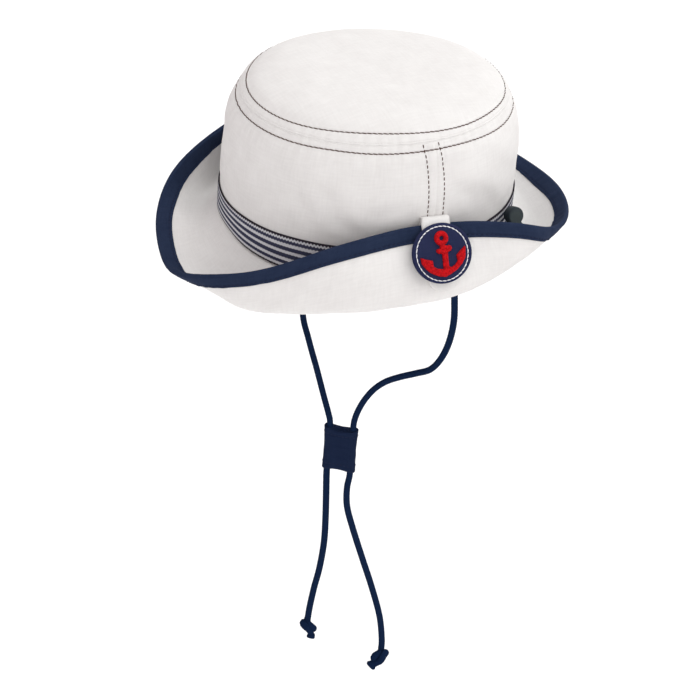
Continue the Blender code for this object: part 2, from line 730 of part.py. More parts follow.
def build_chin_cords():
    """Both cords, and a knot with a short tail that hangs below each."""
    for side, route in (("left", LEFT_CORD_ROUTE), ("right", RIGHT_CORD_ROUTE)):
        points = smooth_route(route, CORD_POINTS)
        add_cord(f"chin_cord_{side}", points, CORD_DIAMETER, "navy cord")
        down = unit(points[-1] - points[-2])
        right = unit(np.cross(down, [0.0, 1.0, 0.0]))
        up = np.cross(down, right)
        wide, long, thin = KNOT_DIAMETER / 2, KNOT_LENGTH, CORD_DIAMETER / 2
        profile = [
            (thin, GAP),
            (wide * 0.80, GAP + long * 0.14),
            (wide, GAP + long * 0.38),
            (wide * 0.97, GAP + long * 0.62),
            (wide * 0.72, GAP + long * 0.88),
            (thin, GAP + long),
            (thin, GAP + long + KNOT_TAIL),
        ]
        lathe(f"knot_{side}", profile, points[-1], right, up, down, 12, "navy cord")


def build_cord_tabs():
    """The plain cloth tab inside each side of the crown that a cord is sewn to."""
    for side, sign in (("left", 1), ("right", -1)):
        bearing = np.array([sign * CORD_TAB_BEARING])
        out = outward(bearing)[0]
        along = np.array([-out[1], out[0], 0.0])
        wall = side_ring(bearing, 0.0, 0.0)[0]
        sag = (CORD_TAB_WIDTH / 2) ** 2 / CROWN_WIDTH
        middle = wall - (CROWN_CLOTH + GAP + sag + CORD_TAB_THICKNESS / 2) * out
        middle[2] = LEFT_CORD_ROUTE[0][2] / 1000 + GAP
        corners = []
        for up in (0.0, CORD_TAB_HEIGHT):
            for across, deep in ((-1, -1), (1, -1), (1, 1), (-1, 1)):
                offset = across * CORD_TAB_WIDTH / 2 * along + deep * CORD_TAB_THICKNESS / 2 * out
                corners.append(middle + offset + [0, 0, up])
        faces = [(0, 1, 2, 3), (7, 6, 5, 4)]
        faces += [(k, k + 4, (k + 1) % 4 + 4, (k + 1) % 4) for k in range(4)]
        add_mesh(f"cord_tab_{side}", corners, faces, "navy cloth")


def rounded_bar(half_width, half_thickness, steps):
    """A flat bar's outline with half-round ends."""
    straight = half_width - half_thickness
    outline = arc(straight, 0, half_thickness, -90, 90, steps)
    return outline + arc(-straight, 0, half_thickness, 90, 270, steps)


def build_slider():
    """The cloth slider that both cords run through, with a channel for each."""
    turn = math.radians(SLIDER_TURN)
    wide = np.array([math.cos(turn), math.sin(turn), 0.0])
    up = np.array([0.0, 0.0, 1.0])
    thick = np.cross(up, wide)
    outline = rounded_bar(SLIDER_WIDTH / 2, SLIDER_THICKNESS / 2, 7)
    bore = CORD_DIAMETER / 2 / math.cos(math.pi / 12) + CHANNEL_PLAY
    loops = [outline]
    for sign in (-1, 1):
        loops.append(arc(sign * CHANNEL_SPACING / 2, 0, bore, 0, 330, 12))
    origin = np.array(SLIDER_MIDDLE) - up * SLIDER_HEIGHT / 2
    place = place_matrix(origin, wide, thick, up)
    extrude_outline("cord_slider", loops, SLIDER_HEIGHT, place, "navy cord")


def stopper_frame():
    bearing = np.array([STOPPER_BEARING])
    foot = oval(bearing, CROWN_WIDTH / 2, CROWN_LENGTH / 2, STOPPER_HEIGHT)[0]
    middle = foot + STOPPER_STANDOFF * outward(bearing)[0]
    facing, tilt = math.radians(STOPPER_FACING), math.radians(STOPPER_TILT)
    level = np.array([math.sin(facing), -math.cos(facing), 0.0])
    out = math.cos(tilt) * level + math.sin(tilt) * np.array([0, 0, 1.0])
    right = unit(np.cross([0.0, 0.0, 1.0], out))
    return middle, right, np.cross(out, right), out


def build_stopper():
    """A two-lobed stopper and the thin string that runs through both of its holes."""
    middle, right, up, out = stopper_frame()
    lobe, apart = STOPPER_LOBE / 2, STOPPER_SPACING / 2
    waist = math.degrees(math.asin(min(0.95, apart / lobe * 0.62)))
    outline = arc(0, apart, lobe, -waist, 180 + waist, 11)
    outline += arc(0, -apart, lobe, 180 - waist, 360 + waist, 11)
    bore = STRING_DIAMETER / 2 / math.cos(math.pi / 8) + GAP
    loops = [outline, arc(0, apart, bore, 0, 315, 8), arc(0, -apart, bore, 0, 315, 8)]
    origin = middle - out * STOPPER_THICKNESS / 2
    place = place_matrix(origin, right, up, out)
    extrude_outline("cord_stopper", loops, STOPPER_THICKNESS, place, "stopper plastic")
    back, front = -STOPPER_THICKNESS / 2 - STRING_BACK, STOPPER_THICKNESS / 2
    points = [middle + apart * up + back * out, middle + apart * up]
    for angle in np.radians(np.linspace(90, -90, 9)):
        reach = front + STRING_LOOP * math.cos(angle)
        points.append(middle + apart * math.sin(angle) * up + reach * out)
    points += [middle - apart * up, middle - apart * up + back * out]
    add_cord("stopper_string", np.array(points), STRING_DIAMETER, "navy cord")


def main():
    clear_scene()
    build_crown()
    build_brim()
    build_binding()
    build_band()
    build_tab()
    build_badge()
    build_anchor()
    build_chin_cords()
    build_cord_tabs()
    build_slider()
    build_stopper()


main()
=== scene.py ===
"""The visual model of a child's white cloth sun hat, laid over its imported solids.

Metres, +Z up, the hat's front at -Y, the wearer's left at +X. A bearing is an angle in degrees
round the crown: 0 at the front, 90 at the wearer's left. Cloth is worked out from two numbers:
on the crown a bearing and the distance climbed from its foot, on the brim a bearing and the
distance in from its edge.
"""

import math

import bpy
import mathutils
import numpy as np
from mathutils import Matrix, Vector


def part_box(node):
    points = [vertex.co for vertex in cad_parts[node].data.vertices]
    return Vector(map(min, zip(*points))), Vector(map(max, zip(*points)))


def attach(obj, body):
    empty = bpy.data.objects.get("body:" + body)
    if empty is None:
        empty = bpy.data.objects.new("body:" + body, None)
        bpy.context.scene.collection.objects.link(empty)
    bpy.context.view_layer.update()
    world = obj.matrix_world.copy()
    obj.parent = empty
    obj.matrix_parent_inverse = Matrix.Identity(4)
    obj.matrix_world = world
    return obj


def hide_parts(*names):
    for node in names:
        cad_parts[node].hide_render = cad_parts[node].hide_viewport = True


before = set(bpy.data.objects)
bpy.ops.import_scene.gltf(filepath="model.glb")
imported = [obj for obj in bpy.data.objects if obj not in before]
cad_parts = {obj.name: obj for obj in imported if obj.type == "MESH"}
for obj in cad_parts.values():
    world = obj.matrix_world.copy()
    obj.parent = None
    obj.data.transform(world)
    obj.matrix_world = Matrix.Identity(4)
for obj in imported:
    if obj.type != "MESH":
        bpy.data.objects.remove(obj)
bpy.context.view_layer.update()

MM = 0.001
TURN = 2 * math.pi
UP = np.array([0.0, 0.0, 1.0])

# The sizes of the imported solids
CROWN_WIDTH = 0.156
CROWN_LENGTH = 0.176
CROWN_RISE = 0.074
CROWN_INSET = 0.0103
CROWN_LEAN = 0.0012
TIP_RISE = 0.0142
CLOTH_PUFF = 0.004
CROWN_CLOTH = 0.0018
BRIM_WIDTH = 0.050
BRIM_CLOTH = 0.0018
BINDING_DEPTH = 0.0090
BINDING_REACH = 0.0016
BAND_TOP = 0.0175
TAB_BEARING = 87.4
TAB_TOP_BEARING = 88.4
TAB_WIDTH = 0.0170
TAB_CLOTH = 0.0016
TAB_LOFT = 0.0042
TAB_RISE = 0.0049
TAB_REACH = 0.0365
BADGE_BEARING = 86.8
BADGE_DROP = 0.0165
BADGE_DIAMETER = 0.0334
BADGE_THICKNESS = 0.0030
ANCHOR_HEIGHT = 0.0250
ANCHOR_ASIDE = 0.0007
BADGE_WIDENING = 1.04
CORD_DIAMETER = 0.0040
SLIDER_WIDTH = 0.0225
SLIDER_HEIGHT = 0.0326
SLIDER_THICKNESS = 0.0072
SLIDER_TURN = 49.5
SLIDER_MIDDLE = (0.0, -0.0052, -0.1829)
SLIDER_HEM = 0.0040
CORD_TAB_BEARING = 105.0
STOPPER_BEARING = 128.0
STOPPER_HEIGHT = 0.0115
STOPPER_STANDOFF = 0.0085
STOPPER_LOBE = 0.0084
STOPPER_SPACING = 0.0086
STOPPER_THICKNESS = 0.0070
STOPPER_FACING = 84.0
STOPPER_TILT = 22.0
GAP = 0.0003

# Sewing. A stitch is its pitch, its length and its thickness.
SEAM_ROW = 4.75 * MM  # how far each row of brown stitches lies from the tip's seam
SIDE_SEAMS = (89.2, -90.0)  # bearings of the crown's upright seams
SIDE_SEAM_ROW = 4.6 * MM
RING_STITCH = (2.9 * MM, 3.15 * MM, 0.56 * MM)
RING_STITCH_INSIDE = (2.9 * MM, 2.6 * MM, 0.6 * MM)
UPRIGHT_STITCH = (2.8 * MM, 2.4 * MM, 0.58 * MM)
UPRIGHT_STITCH_INSIDE = (3.1 * MM, 2.2 * MM, 0.6 * MM)
TAPE_STITCH = (2.8 * MM, 2.3 * MM, 0.5 * MM)
HEM_STITCH = (2.4 * MM, 1.9 * MM, 0.5 * MM)
BADGE_STITCH = (2.6 * MM, 2.62 * MM, 0.62 * MM)
LOOP_STITCH = (2.2 * MM, 1.8 * MM, 0.5 * MM)

# Columns: share of the crown's rise, share of its inset.
SIDE_PROFILE = (
    (0.00, 0.00), (0.24, 0.02), (0.48, 0.03), (0.69, 0.15),
    (0.82, 0.34), (0.90, 0.56), (0.945, 0.78), (1.00, 1.00),
)
# Columns: share of the tip's rise, share of its half size.
TIP_PROFILE = (
    (0.26, 0.957), (0.52, 0.90), (0.72, 0.80), (0.89, 0.60), (0.97, 0.30), (1.00, 0.00),
)
# Columns: bearing, then how far the crown puffs out and up, as shares of CLOTH_PUFF.
FULLNESS = (
    (-165, 0.12, 0.00),
    (-125, 0.30, 0.05),
    (-90, 0.75, 0.20),
    (-60, 1.00, 0.20),
    (-35, 0.40, 0.00),
    (-15, 0.05, 0.00),
    (20, 0.00, 0.00),
    (90, 0.00, 0.00),
    (140, 0.00, 0.00),
    (170, 0.00, 0.00),
)
# Columns: bearing, the seam's height, the edge's distance out and height, then each of two
# guides' distance out and drop below the seam, as shares of BRIM_WIDTH.
BRIM_SECTIONS = (
    (-165, -0.02, 0.57, 0.06, 0.16, 0.16, 0.30, 0.14),
    (-140, -0.08, 0.64, 0.20, 0.18, 0.20, 0.52, 0.20),
    (-120, -0.10, 0.52, 0.48, 0.28, 0.14, 0.80, 0.16),
    (-105, -0.12, 0.28, 0.60, 0.34, 0.12, 0.82, 0.18),
    (-90, -0.12, 0.15, 0.66, 0.36, 0.12, 0.80, 0.20),
    (-75, -0.12, 0.17, 0.62, 0.36, 0.12, 0.66, 0.22),
    (-60, -0.10, 0.26, 0.52, 0.34, 0.14, 0.42, 0.24),
    (-47, -0.08, 0.39, 0.40, 0.30, 0.16, 0.34, 0.26),
    (-35, -0.04, 0.59, 0.19, 0.20, 0.20, 0.36, 0.24),
    (-22, 0.00, 0.712, -0.06, 0.18, 0.18, 0.40, 0.16),
    (-8, 0.03, 0.76, -0.21, 0.16, 0.24, 0.44, 0.28),
    (3, 0.01, 0.80, -0.235, 0.16, 0.28, 0.54, 0.42),
    (11, -0.03, 0.79, -0.135, 0.24, 0.30, 0.56, 0.46),
    (20, -0.06, 0.73, 0.02, 0.34, 0.32, 0.66, 0.44),
    (30, -0.08, 0.63, 0.17, 0.42, 0.32, 0.73, 0.48),
    (40, -0.09, 0.49, 0.33, 0.44, 0.28, 0.76, 0.43),
    (51, -0.10, 0.35, 0.50, 0.40, 0.21, 0.80, 0.32),
    (63, -0.12, 0.21, 0.596, 0.37, 0.13, 0.79, 0.24),
    (76, -0.12, 0.10, 0.634, 0.39, 0.12, 0.73, 0.20),
    (90, -0.12, 0.08, 0.616, 0.39, 0.12, 0.71, 0.12),
    (104, -0.12, 0.21, 0.584, 0.37, 0.08, 0.70, 0.00),
    (115, -0.11, 0.48, 0.53, 0.32, 0.04, 0.75, -0.10),
    (126, -0.10, 0.63, 0.35, 0.22, 0.08, 0.58, -0.02),
    (138, -0.08, 0.68, 0.22, 0.16, 0.14, 0.38, 0.08),
    (158, -0.04, 0.63, 0.15, 0.16, 0.16, 0.32, 0.13),
    (176, -0.02, 0.576, 0.08, 0.16, 0.16, 0.30, 0.14),
)
# Columns: to the right of and above the badge's middle, as shares of ANCHOR_HEIGHT.
ANCHOR_OUTLINE = (
    (0.09, 0.18), (0.14, 0.16), (0.20, 0.16), (0.24, 0.13), (0.25, 0.08), (0.22, 0.03),
    (0.17, 0.02), (0.14, 0.00), (0.13, -0.14), (0.12, -0.28), (0.16, -0.32), (0.26, -0.28),
    (0.33, -0.21), (0.32, -0.08), (0.44, 0.01), (0.56, 0.09), (0.55, -0.05), (0.52, -0.18),
    (0.43, -0.29), (0.31, -0.39), (0.16, -0.46), (0.01, -0.51), (-0.12, -0.48), (-0.24, -0.42),
    (-0.33, -0.36), (-0.42, -0.26), (-0.49, -0.14), (-0.50, 0.00), (-0.37, -0.06), (-0.23, -0.11),
    (-0.23, -0.24), (-0.14, -0.30), (-0.02, -0.33), (-0.01, -0.18), (0.00, -0.01), (-0.03, 0.00),
    (-0.08, 0.01), (-0.12, 0.05), (-0.12, 0.10), (-0.08, 0.12), (-0.03, 0.12), (-0.02, 0.17),
)
# The ring's middle, to the right and above, its radius and its hole's radius, as such shares.
ANCHOR_RING = (0.044, 0.332, 0.164, 0.046)

# The cords' routes, in millimetres
LEFT_CORD_ROUTE = (
    (70.4, 21.7, -11.0), (70.4, 21.7, -18.0), (71.5, 22.1, -28.5), (73.0, 22.6, -44.0),
    (71.6, 22.1, -59.5), (67.4, 20.7, -74.0), (60.4, 18.5, -86.3), (50.0, 15.2, -95.3),
    (38.5, 11.5, -104.6), (28.0, 8.1, -114.2), (19.5, 5.4, -124.8), (12.9, 3.2, -136.5),
    (8.3, 1.8, -147.5), (5.9, 1.0, -156.0), (5.06, 0.73, -162.0), (5.06, 0.73, -172.0),
    (5.06, 0.73, -194.0), (5.06, 0.73, -204.0), (5.0, -0.5, -215.0), (5.0, 0.7, -231.0),
    (5.4, 6.3, -252.0), (6.0, 15.2, -281.0), (6.7, 24.9, -312.0), (7.6, 33.0, -342.0),
    (8.0, 36.6, -366.0), (8.0, 36.9, -377.0),
)
RIGHT_CORD_ROUTE = (
    (-70.4, 21.7, -11.0), (-70.4, 21.7, -18.0), (-71.0, 19.5, -28.0), (-70.3, 13.5, -42.0),
    (-66.3, 4.0, -62.0), (-58.2, -6.0, -84.0), (-45.9, -13.7, -102.5), (-32.5, -15.4, -115.0),
    (-21.2, -14.5, -130.5), (-11.9, -13.0, -147.0), (-6.2, -12.0, -157.0), (-5.06, -11.13, -163.0),
    (-5.06, -11.13, -173.0), (-5.06, -11.13, -194.0), (-5.06, -11.13, -206.0), (-4.7, -10.5, -225.0),
    (-4.4, -9.9, -246.0), (-4.5, -9.8, -267.0), (-5.3, -11.5, -290.0), (-6.5, -14.1, -309.0),
    (-7.5, -16.0, -327.0), (-8.0, -17.0, -341.5),
)


# Curves and grids


def unit(vectors):
    """Vectors over their own lengths."""
    return vectors / np.maximum(np.linalg.norm(vectors, axis=-1, keepdims=True), 1e-12)


def ring_spline(rows, bearings):
    """A table's columns on the closed cubic spline through its rows: a straight blend of the two
    rows beside each bearing, plus a cube from each that carries its bend."""
    table = np.array(rows, float)
    at = np.radians(table[:, 0])
    values = table[:, 1:]
    count = len(at)
    step = np.diff(np.append(at, at[0] + TURN))
    here = np.arange(count)
    before, after = here - 1, (here + 1) % count
    system = np.zeros((count, count))
    system[here, before] += step[before]
    system[here, here] += 2 * (step[before] + step)
    system[here, after] += step
    rise = (values[after] - values) / step[:, None]
    bend = np.linalg.solve(system, 6 * (rise - rise[before]))
    turned = (np.radians(bearings) - at[0]) % TURN
    edges = np.append(at - at[0], TURN)
    low = np.clip(np.searchsorted(edges, turned, side="right") - 1, 0, count - 1)
    high = (low + 1) % count
    past = (turned - edges[low])[:, None]
    width = step[low][:, None]
    left = width - past
    curve = (bend[low] * left**3 + bend[high] * past**3) / (6 * width)
    curve += (values[low] / width - bend[low] * width / 6) * left
    return curve + (values[high] / width - bend[high] * width / 6) * past


ROUND = np.linspace(-180, 180, 1441)
BRIM_ROUND = ring_spline(BRIM_SECTIONS, ROUND) * BRIM_WIDTH
PUFF_ROUND = ring_spline(FULLNESS, ROUND) * CLOTH_PUFF


def degrees_past(bearing, at=0.0):
    """How many degrees a bearing lies past another, from -180 to 180."""
    return (bearing - at + 180) % 360 - 180


def read_round(table, bearing):
    """The columns of a table kept for the bearings of ROUND, at any bearing."""
    wrapped = degrees_past(np.asarray(bearing, float))
    return np.stack([np.interp(wrapped, ROUND, column) for column in table.T], axis=-1)


def through(knots, table, at):
    """A smooth curve through a table's rows at their knots: a cubic between two rows, whose slope
    at a row is the mean of the slopes beside it, each weighted by the other's length."""
    step = np.diff(knots)[:, None]
    rise = np.diff(table, axis=0) / step
    slope = np.concatenate([rise[:1], rise, rise[-1:]])
    slope[1:-2] = (rise[:-1] * step[1:] + rise[1:] * step[:-1]) / (step[:-1] + step[1:])
    slope = slope[:-1]
    slope[-1] = rise[-1]
    low = np.clip(np.searchsorted(knots, at, side="right") - 1, 0, len(knots) - 2)
    wide = step[low]
    past = ((at - knots[low])[..., None]) / wide
    start = (1 + 2 * past) * (1 - past) ** 2 * table[low] + past * (1 - past) ** 2 * wide * slope[low]
    end = past**2 * (3 - 2 * past) * table[low + 1] + past**2 * (past - 1) * wide * slope[low + 1]
    return start + end


def oval_point(bearing):
    """Points on the crown's base oval."""
    turn = np.radians(bearing)
    return np.stack([CROWN_WIDTH / 2 * np.sin(turn), -CROWN_LENGTH / 2 * np.cos(turn), 0 * turn], -1)


def oval_outward(bearing):
    """Level unit vectors square to the crown's base oval."""
    turn = np.radians(bearing)
    return unit(np.stack([np.sin(turn) / CROWN_WIDTH, -np.cos(turn) / CROWN_LENGTH, 0 * turn], -1))


def waves(points, seed, shortest, longest, count=22):
    """Soft unevenness of about one at its highest: the sum of sine waves through space, of
    random headings, starts and lengths between two limits."""
    dice = np.random.default_rng(seed)
    heading = unit(dice.normal(size=(count, 3)))
    length = shortest * (longest / shortest) ** dice.random(count)
    phase = points @ (heading / length[:, None]).T * TURN + dice.random(count) * TURN
    return np.sin(phase).sum(-1) * math.sqrt(2 / count) / 1.7


def puckers(turn, seed, counts):
    """Fine puckers round a ring: the sum of sine waves, each with its count of waves in a whole
    turn and a random start."""
    dice = np.random.default_rng(seed)
    return sum(np.sin(count * turn + dice.random() * TURN) for count in counts)


def hump(away, width):
    """A bell: the power of e of minus the square of the distance over the width."""
    return np.exp(-((away / width) ** 2))


def ease(share):
    """From 0 to 1 with level ends: three squares less two cubes."""
    share = np.clip(share, 0, 1)
    return share * share * (3 - 2 * share)


def squared_off(share, power):
    """A share's sign times a low power of its size, which draws a circle out towards a square."""
    return np.sign(share) * np.abs(share) ** power


# Meshes


def finish_piece(name, points, quads, tris, finish, corners=None):
    """An object of the given points, quads and triangles, turned outwards by the sign of the
    volume they enclose. corners holds the flat cloth's place of every corner, quads first."""
    quads = np.asarray(quads, np.int64).reshape(-1, 4)
    tris = np.asarray(tris, np.int64).reshape(-1, 3)
    a, b, c, d = (points[quads[:, k]] for k in range(4))
    volume = (a * np.cross(b, c) + a * np.cross(c, d)).sum()
    if len(tris):
        a, b, c = (points[tris[:, k]] for k in range(3))
        volume += (a * np.cross(b, c)).sum()
    if corners is not None:
        on_quads = corners[: quads.size].reshape(-1, 4, 2)
        on_tris = corners[quads.size :].reshape(-1, 3, 2)
    if volume < 0:
        quads, tris = quads[:, ::-1], tris[:, ::-1]
        if corners is not None:
            on_quads, on_tris = on_quads[:, ::-1], on_tris[:, ::-1]
    loops = np.concatenate([quads.ravel(), tris.ravel()])
    starts = np.concatenate([np.arange(len(quads)) * 4, quads.size + np.arange(len(tris)) * 3])
    mesh = bpy.data.meshes.new(name)
    mesh.vertices.add(len(points))
    mesh.vertices.foreach_set("co", np.asarray(points, np.float32).ravel())
    mesh.loops.add(len(loops))
    mesh.loops.foreach_set("vertex_index", loops.astype(np.int32))
    mesh.polygons.add(len(starts))
    mesh.polygons.foreach_set("loop_start", starts.astype(np.int32))
    mesh.polygons.foreach_set("use_smooth", np.ones(len(starts), bool))
    mesh.update(calc_edges=True)
    if corners is not None:
        flat = np.concatenate([on_quads.reshape(-1, 2), on_tris.reshape(-1, 2)])
        layer = mesh.uv_layers.new(name="cloth")
        layer.data.foreach_set("uv", flat.astype(np.float32).ravel())
    mesh.validate()
    mesh.materials.append(finish)
    piece = bpy.data.objects.new(name, mesh)
    bpy.context.scene.collection.objects.link(piece)
    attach(piece, "root")
    return piece


def surface(name, points, finish, flat, loop_rows=False, poles=None):
    """A grid of points as a mesh. Each row closes on itself, and the last row either joins the
    first one or closes, as the first does, on one of two poles. flat is the cloth's place of each
    point, with one more row or column where the grid closes."""
    points = np.asarray(points, float)
    rows, columns = points.shape[:2]
    r = np.arange(rows if loop_rows else rows - 1)[:, None]
    c = np.arange(columns)[None, :]
    low, high = r * columns, (r + 1) % rows * columns
    beside = (c + 1) % columns
    quads = np.stack([low + c, low + beside, high + beside, high + c], -1).reshape(-1, 4)
    everything = points.reshape(-1, 3)
    tris = np.zeros((0, 3), int)
    if poles is not None:
        first, last = rows * columns, rows * columns + 1
        everything = np.concatenate([everything, np.asarray(poles, float)])
        c, beside = c[0], beside[0]
        end = (rows - 1) * columns
        tris = np.concatenate([
            np.stack([0 * c + first, beside, c], -1),
            np.stack([0 * c + last, end + c, end + beside], -1),
        ])
    r, c = np.broadcast_arrays(r, np.arange(columns)[None, :])
    r, c = r.ravel(), c.ravel()
    corners = np.stack([flat[r, c], flat[r, c + 1], flat[r + 1, c + 1], flat[r + 1, c]], 1)
    corners = [corners.reshape(-1, 2)]
    if poles is not None:
        for row, order in ((0, (1, 0)), (rows - 1, (0, 1))):
            here, after = flat[row, :-1], flat[row, 1:]
            middle = (here + after) / 2
            if np.ptp(flat[row], axis=0).max() < 5 * MM:
                middle = np.broadcast_to(flat[row].mean(axis=0), here.shape)
            pair = (here, after)
            corners.append(np.stack([middle, pair[order[0]], pair[order[1]]], 1).reshape(-1, 2))
    return finish_piece(name, everything, quads, tris, finish, np.concatenate(corners))


def carried(line):
    """Unit vectors along a line of points, and two across it that turn with it as little as they
    can: each step takes out of the last one what now lies along the line."""
    ahead = unit(np.gradient(line, axis=0))
    across = np.empty_like(ahead)
    across[0] = unit(np.cross(ahead[0], [0.31, 0.95, 0.05]))
    for k in range(1, len(line)):
        across[k] = unit(across[k - 1] - ahead[k] * np.dot(across[k - 1], ahead[k]))
    return ahead, across, np.cross(ahead, across)


def walked_along(line):
    """How far it is along a line to each of its points."""
    return np.append(0, np.cumsum(np.linalg.norm(np.diff(line, axis=0), axis=1)))


def even_line(line, step):
    """The same line with points at even steps."""
    walked = walked_along(line)
    places = np.linspace(0, walked[-1], max(2, int(round(walked[-1] / step)) + 1))
    return np.stack([np.interp(places, walked, line[:, k]) for k in range(3)], 1)


def smooth_rows(rows, per_row):
    """A table's rows with others between them, each on the cubic whose slope at a row is half the
    step between the rows beside it."""
    table = np.array(rows, float)
    last = len(table) - 1
    at = np.linspace(0, last, last * per_row + 1)
    low = np.clip(at.astype(int), 0, last - 1)
    past = (at - low)[:, None]
    before, here = table[np.clip(low - 1, 0, last)], table[low]
    after, beyond = table[low + 1], table[np.clip(low + 2, 0, last)]
    start, end = (after - before) / 2, (beyond - here) / 2
    curve = (2 * past**3 - 3 * past**2 + 1) * here + (past**3 - 2 * past**2 + past) * start
    return curve + (3 * past**2 - 2 * past**3) * after + (past**3 - past**2) * end


def flat_grid(across, down):
    """A flat cloth's places: distances across it for the columns, and down it for the rows."""
    return np.stack(np.broadcast_arrays(across[None, :], down[:, None]), -1)


def stitch_row(name, line, normals, finish, stitch, sink=0.5, slant=0.0, closed=True):
    """Sewing stitches along a line on cloth. Each is a short thread whose middle lies on the
    cloth and whose ends dive into it by the fourth power of the distance from its middle."""
    pitch, length, thick = stitch
    walked = walked_along(line)
    count = max(1, int(round(walked[-1] / pitch)))
    pitch = walked[-1] / count
    along = np.linspace(-1, 1, 9)
    places = (np.arange(count)[:, None] + 0.5) * pitch + along * length / 2
    places = places % walked[-1] if closed else np.clip(places, 0, walked[-1])
    spot = np.stack([np.interp(places, walked, line[:, k]) for k in range(3)], -1)
    up = unit(np.stack([np.interp(places, walked, normals[:, k]) for k in range(3)], -1))
    ahead = unit(np.gradient(spot, axis=1))
    side = unit(np.cross(ahead, up))
    bend = along[None, :, None]
    spot = spot + up * (thick * (0.30 - sink * 2.2 * bend**4)) + side * (slant * bend)
    radius = thick / 2 * (1 - 0.55 * np.abs(along) ** 3)[None, :, None, None]
    angle = np.arange(6) * (TURN / 6)
    wheel = np.cos(angle)[:, None] * side[:, :, None] + np.sin(angle)[:, None] * up[:, :, None]
    points = spot[:, :, None] + radius * wheel
    per = along.size * 6
    r, c = np.arange(along.size - 1)[:, None], np.arange(6)[None, :]
    quad = np.stack([r * 6 + c, r * 6 + (c + 1) % 6, (r + 1) * 6 + (c + 1) % 6, (r + 1) * 6 + c], -1)
    caps = np.array([[0, 3, 2, 1], [0, 5, 4, 3]])
    caps = np.concatenate([caps, caps[:, ::-1] + per - 6])
    quads = np.concatenate([quad.reshape(-1, 4), caps])
    quads = (quads[None] + np.arange(count)[:, None, None] * per).reshape(-1, 4)
    return finish_piece(name, points.reshape(-1, 3), quads, [], finish)


# Finishes


def add(tree, kind, settings=(), **sockets):
    """A node with its settings and sockets: a socket takes a value, or another node's output."""
    made = tree.nodes.new(kind)
    for key, value in dict(settings).items():
        setattr(made, key, value)
    for key, value in sockets.items():
        socket = made.inputs[int(key[1:]) if key[0] == "i" and key[1:].isdigit() else key.replace("_", " ")]
        if isinstance(value, bpy.types.NodeSocket):
            tree.links.new(value, socket)
        else:
            socket.default_value = value
    return made


def reckon(tree, how, first, second=0.0, third=0.0):
    """One sum worked out in a finish."""
    return add(tree, "ShaderNodeMath", {"operation": how}, i0=first, i1=second, i2=third).outputs[0]


def noise(tree, place, scale, detail=2.0, rough=0.5):
    """Soft noise at a place, with so many waves to the metre."""
    return add(tree, "ShaderNodeTexNoise", Vector=place, Scale=scale, Detail=detail, Roughness=rough).outputs[0]


def cloth_place(tree):
    """The place on the flat cloth, and its two parts."""
    place = add(tree, "ShaderNodeUVMap", {"uv_map": "cloth"}).outputs[0]
    parts = add(tree, "ShaderNodeSeparateXYZ", Vector=place).outputs
    return place, parts[0], parts[1]


def set_colour(tree, shader, share, dark, light):
    """The finish's colour: from dark to light by a share."""
    mixed = add(tree, "ShaderNodeMix", {"data_type": "RGBA"})
    tree.links.new(share, mixed.inputs[0])
    mixed.inputs[6].default_value = (*dark, 1)
    mixed.inputs[7].default_value = (*light, 1)
    tree.links.new(mixed.outputs[2], shader.inputs["Base Color"])


def set_grain(tree, shader, strength, distance, height):
    """The finish's fine relief: a height between 0 and 1 times a distance."""
    bump = add(tree, "ShaderNodeBump", Strength=strength, Distance=distance, Height=height)
    tree.links.new(bump.outputs[0], shader.inputs["Normal"])


def new_finish(name, roughness, specular):
    """An empty finish with its shader; the constant sockets are set here."""
    made = bpy.data.materials.new(name)
    made.use_nodes = True
    tree = made.node_tree
    shader = tree.nodes["Principled BSDF"]
    shader.inputs["Roughness"].default_value = roughness
    shader.inputs["Specular IOR Level"].default_value = specular
    return made, tree, shader


def cloth_finish(name, dark, light, thread, relief, specular=0.15, twill=False):
    """Woven cloth on the flat cloth's own map. Its threads are two sine waves that take turns to
    lie on top, or run aslant in a twill; slubs are noise drawn out along both threads, and the
    colour goes from dark to light with the threads, slubs and a slow mottle."""
    made, tree, shader = new_finish(name, 0.92, specular)
    place, across, along = cloth_place(tree)
    across = reckon(tree, "MULTIPLY", across, TURN / thread)
    along = reckon(tree, "MULTIPLY", along, TURN / thread)
    if twill:
        weave = reckon(tree, "SINE", reckon(tree, "ADD", across, along))
    else:
        weave = reckon(tree, "MULTIPLY", reckon(tree, "SINE", across), reckon(tree, "SINE", along))
    streaks = []
    for stretch in ((1.0, 0.12, 1.0), (0.12, 1.0, 1.0)):
        drawn = add(tree, "ShaderNodeMapping", Vector=place)
        drawn.inputs["Scale"].default_value = stretch
        streaks.append(noise(tree, drawn.outputs[0], 1 / (thread * 1.6)))
    streak = reckon(tree, "MULTIPLY", reckon(tree, "ADD", *streaks), 0.5)
    slow = noise(tree, place, 55.0, 5.0, 0.62)
    tone = reckon(tree, "MULTIPLY_ADD", weave, 0.10, 0.5)
    tone = reckon(tree, "MULTIPLY_ADD", reckon(tree, "SUBTRACT", streak, 0.5), 1.1, tone)
    tone = reckon(tree, "MULTIPLY_ADD", reckon(tree, "SUBTRACT", slow, 0.5), 0.8, tone)
    set_colour(tree, shader, tone, dark, light)
    height = reckon(tree, "MULTIPLY_ADD", streak, 0.8, reckon(tree, "MULTIPLY", weave, 0.5))
    set_grain(tree, shader, 0.6, relief, height)
    rough = reckon(tree, "MULTIPLY_ADD", streak, 0.12, 0.86)
    tree.links.new(rough, shader.inputs["Roughness"])
    return made


def thread_finish(name, dark, light, scale=900.0, relief=0.08 * MM, specular=0.2):
    """Spun thread: fine noise for its fibres, and a colour between dark and light with it."""
    made, tree, shader = new_finish(name, 0.8, specular)
    place = add(tree, "ShaderNodeTexCoord").outputs["Object"]
    fibres = noise(tree, place, scale, 3.0, 0.6)
    set_colour(tree, shader, fibres, dark, light)
    set_grain(tree, shader, 0.5, relief, fibres)
    return made


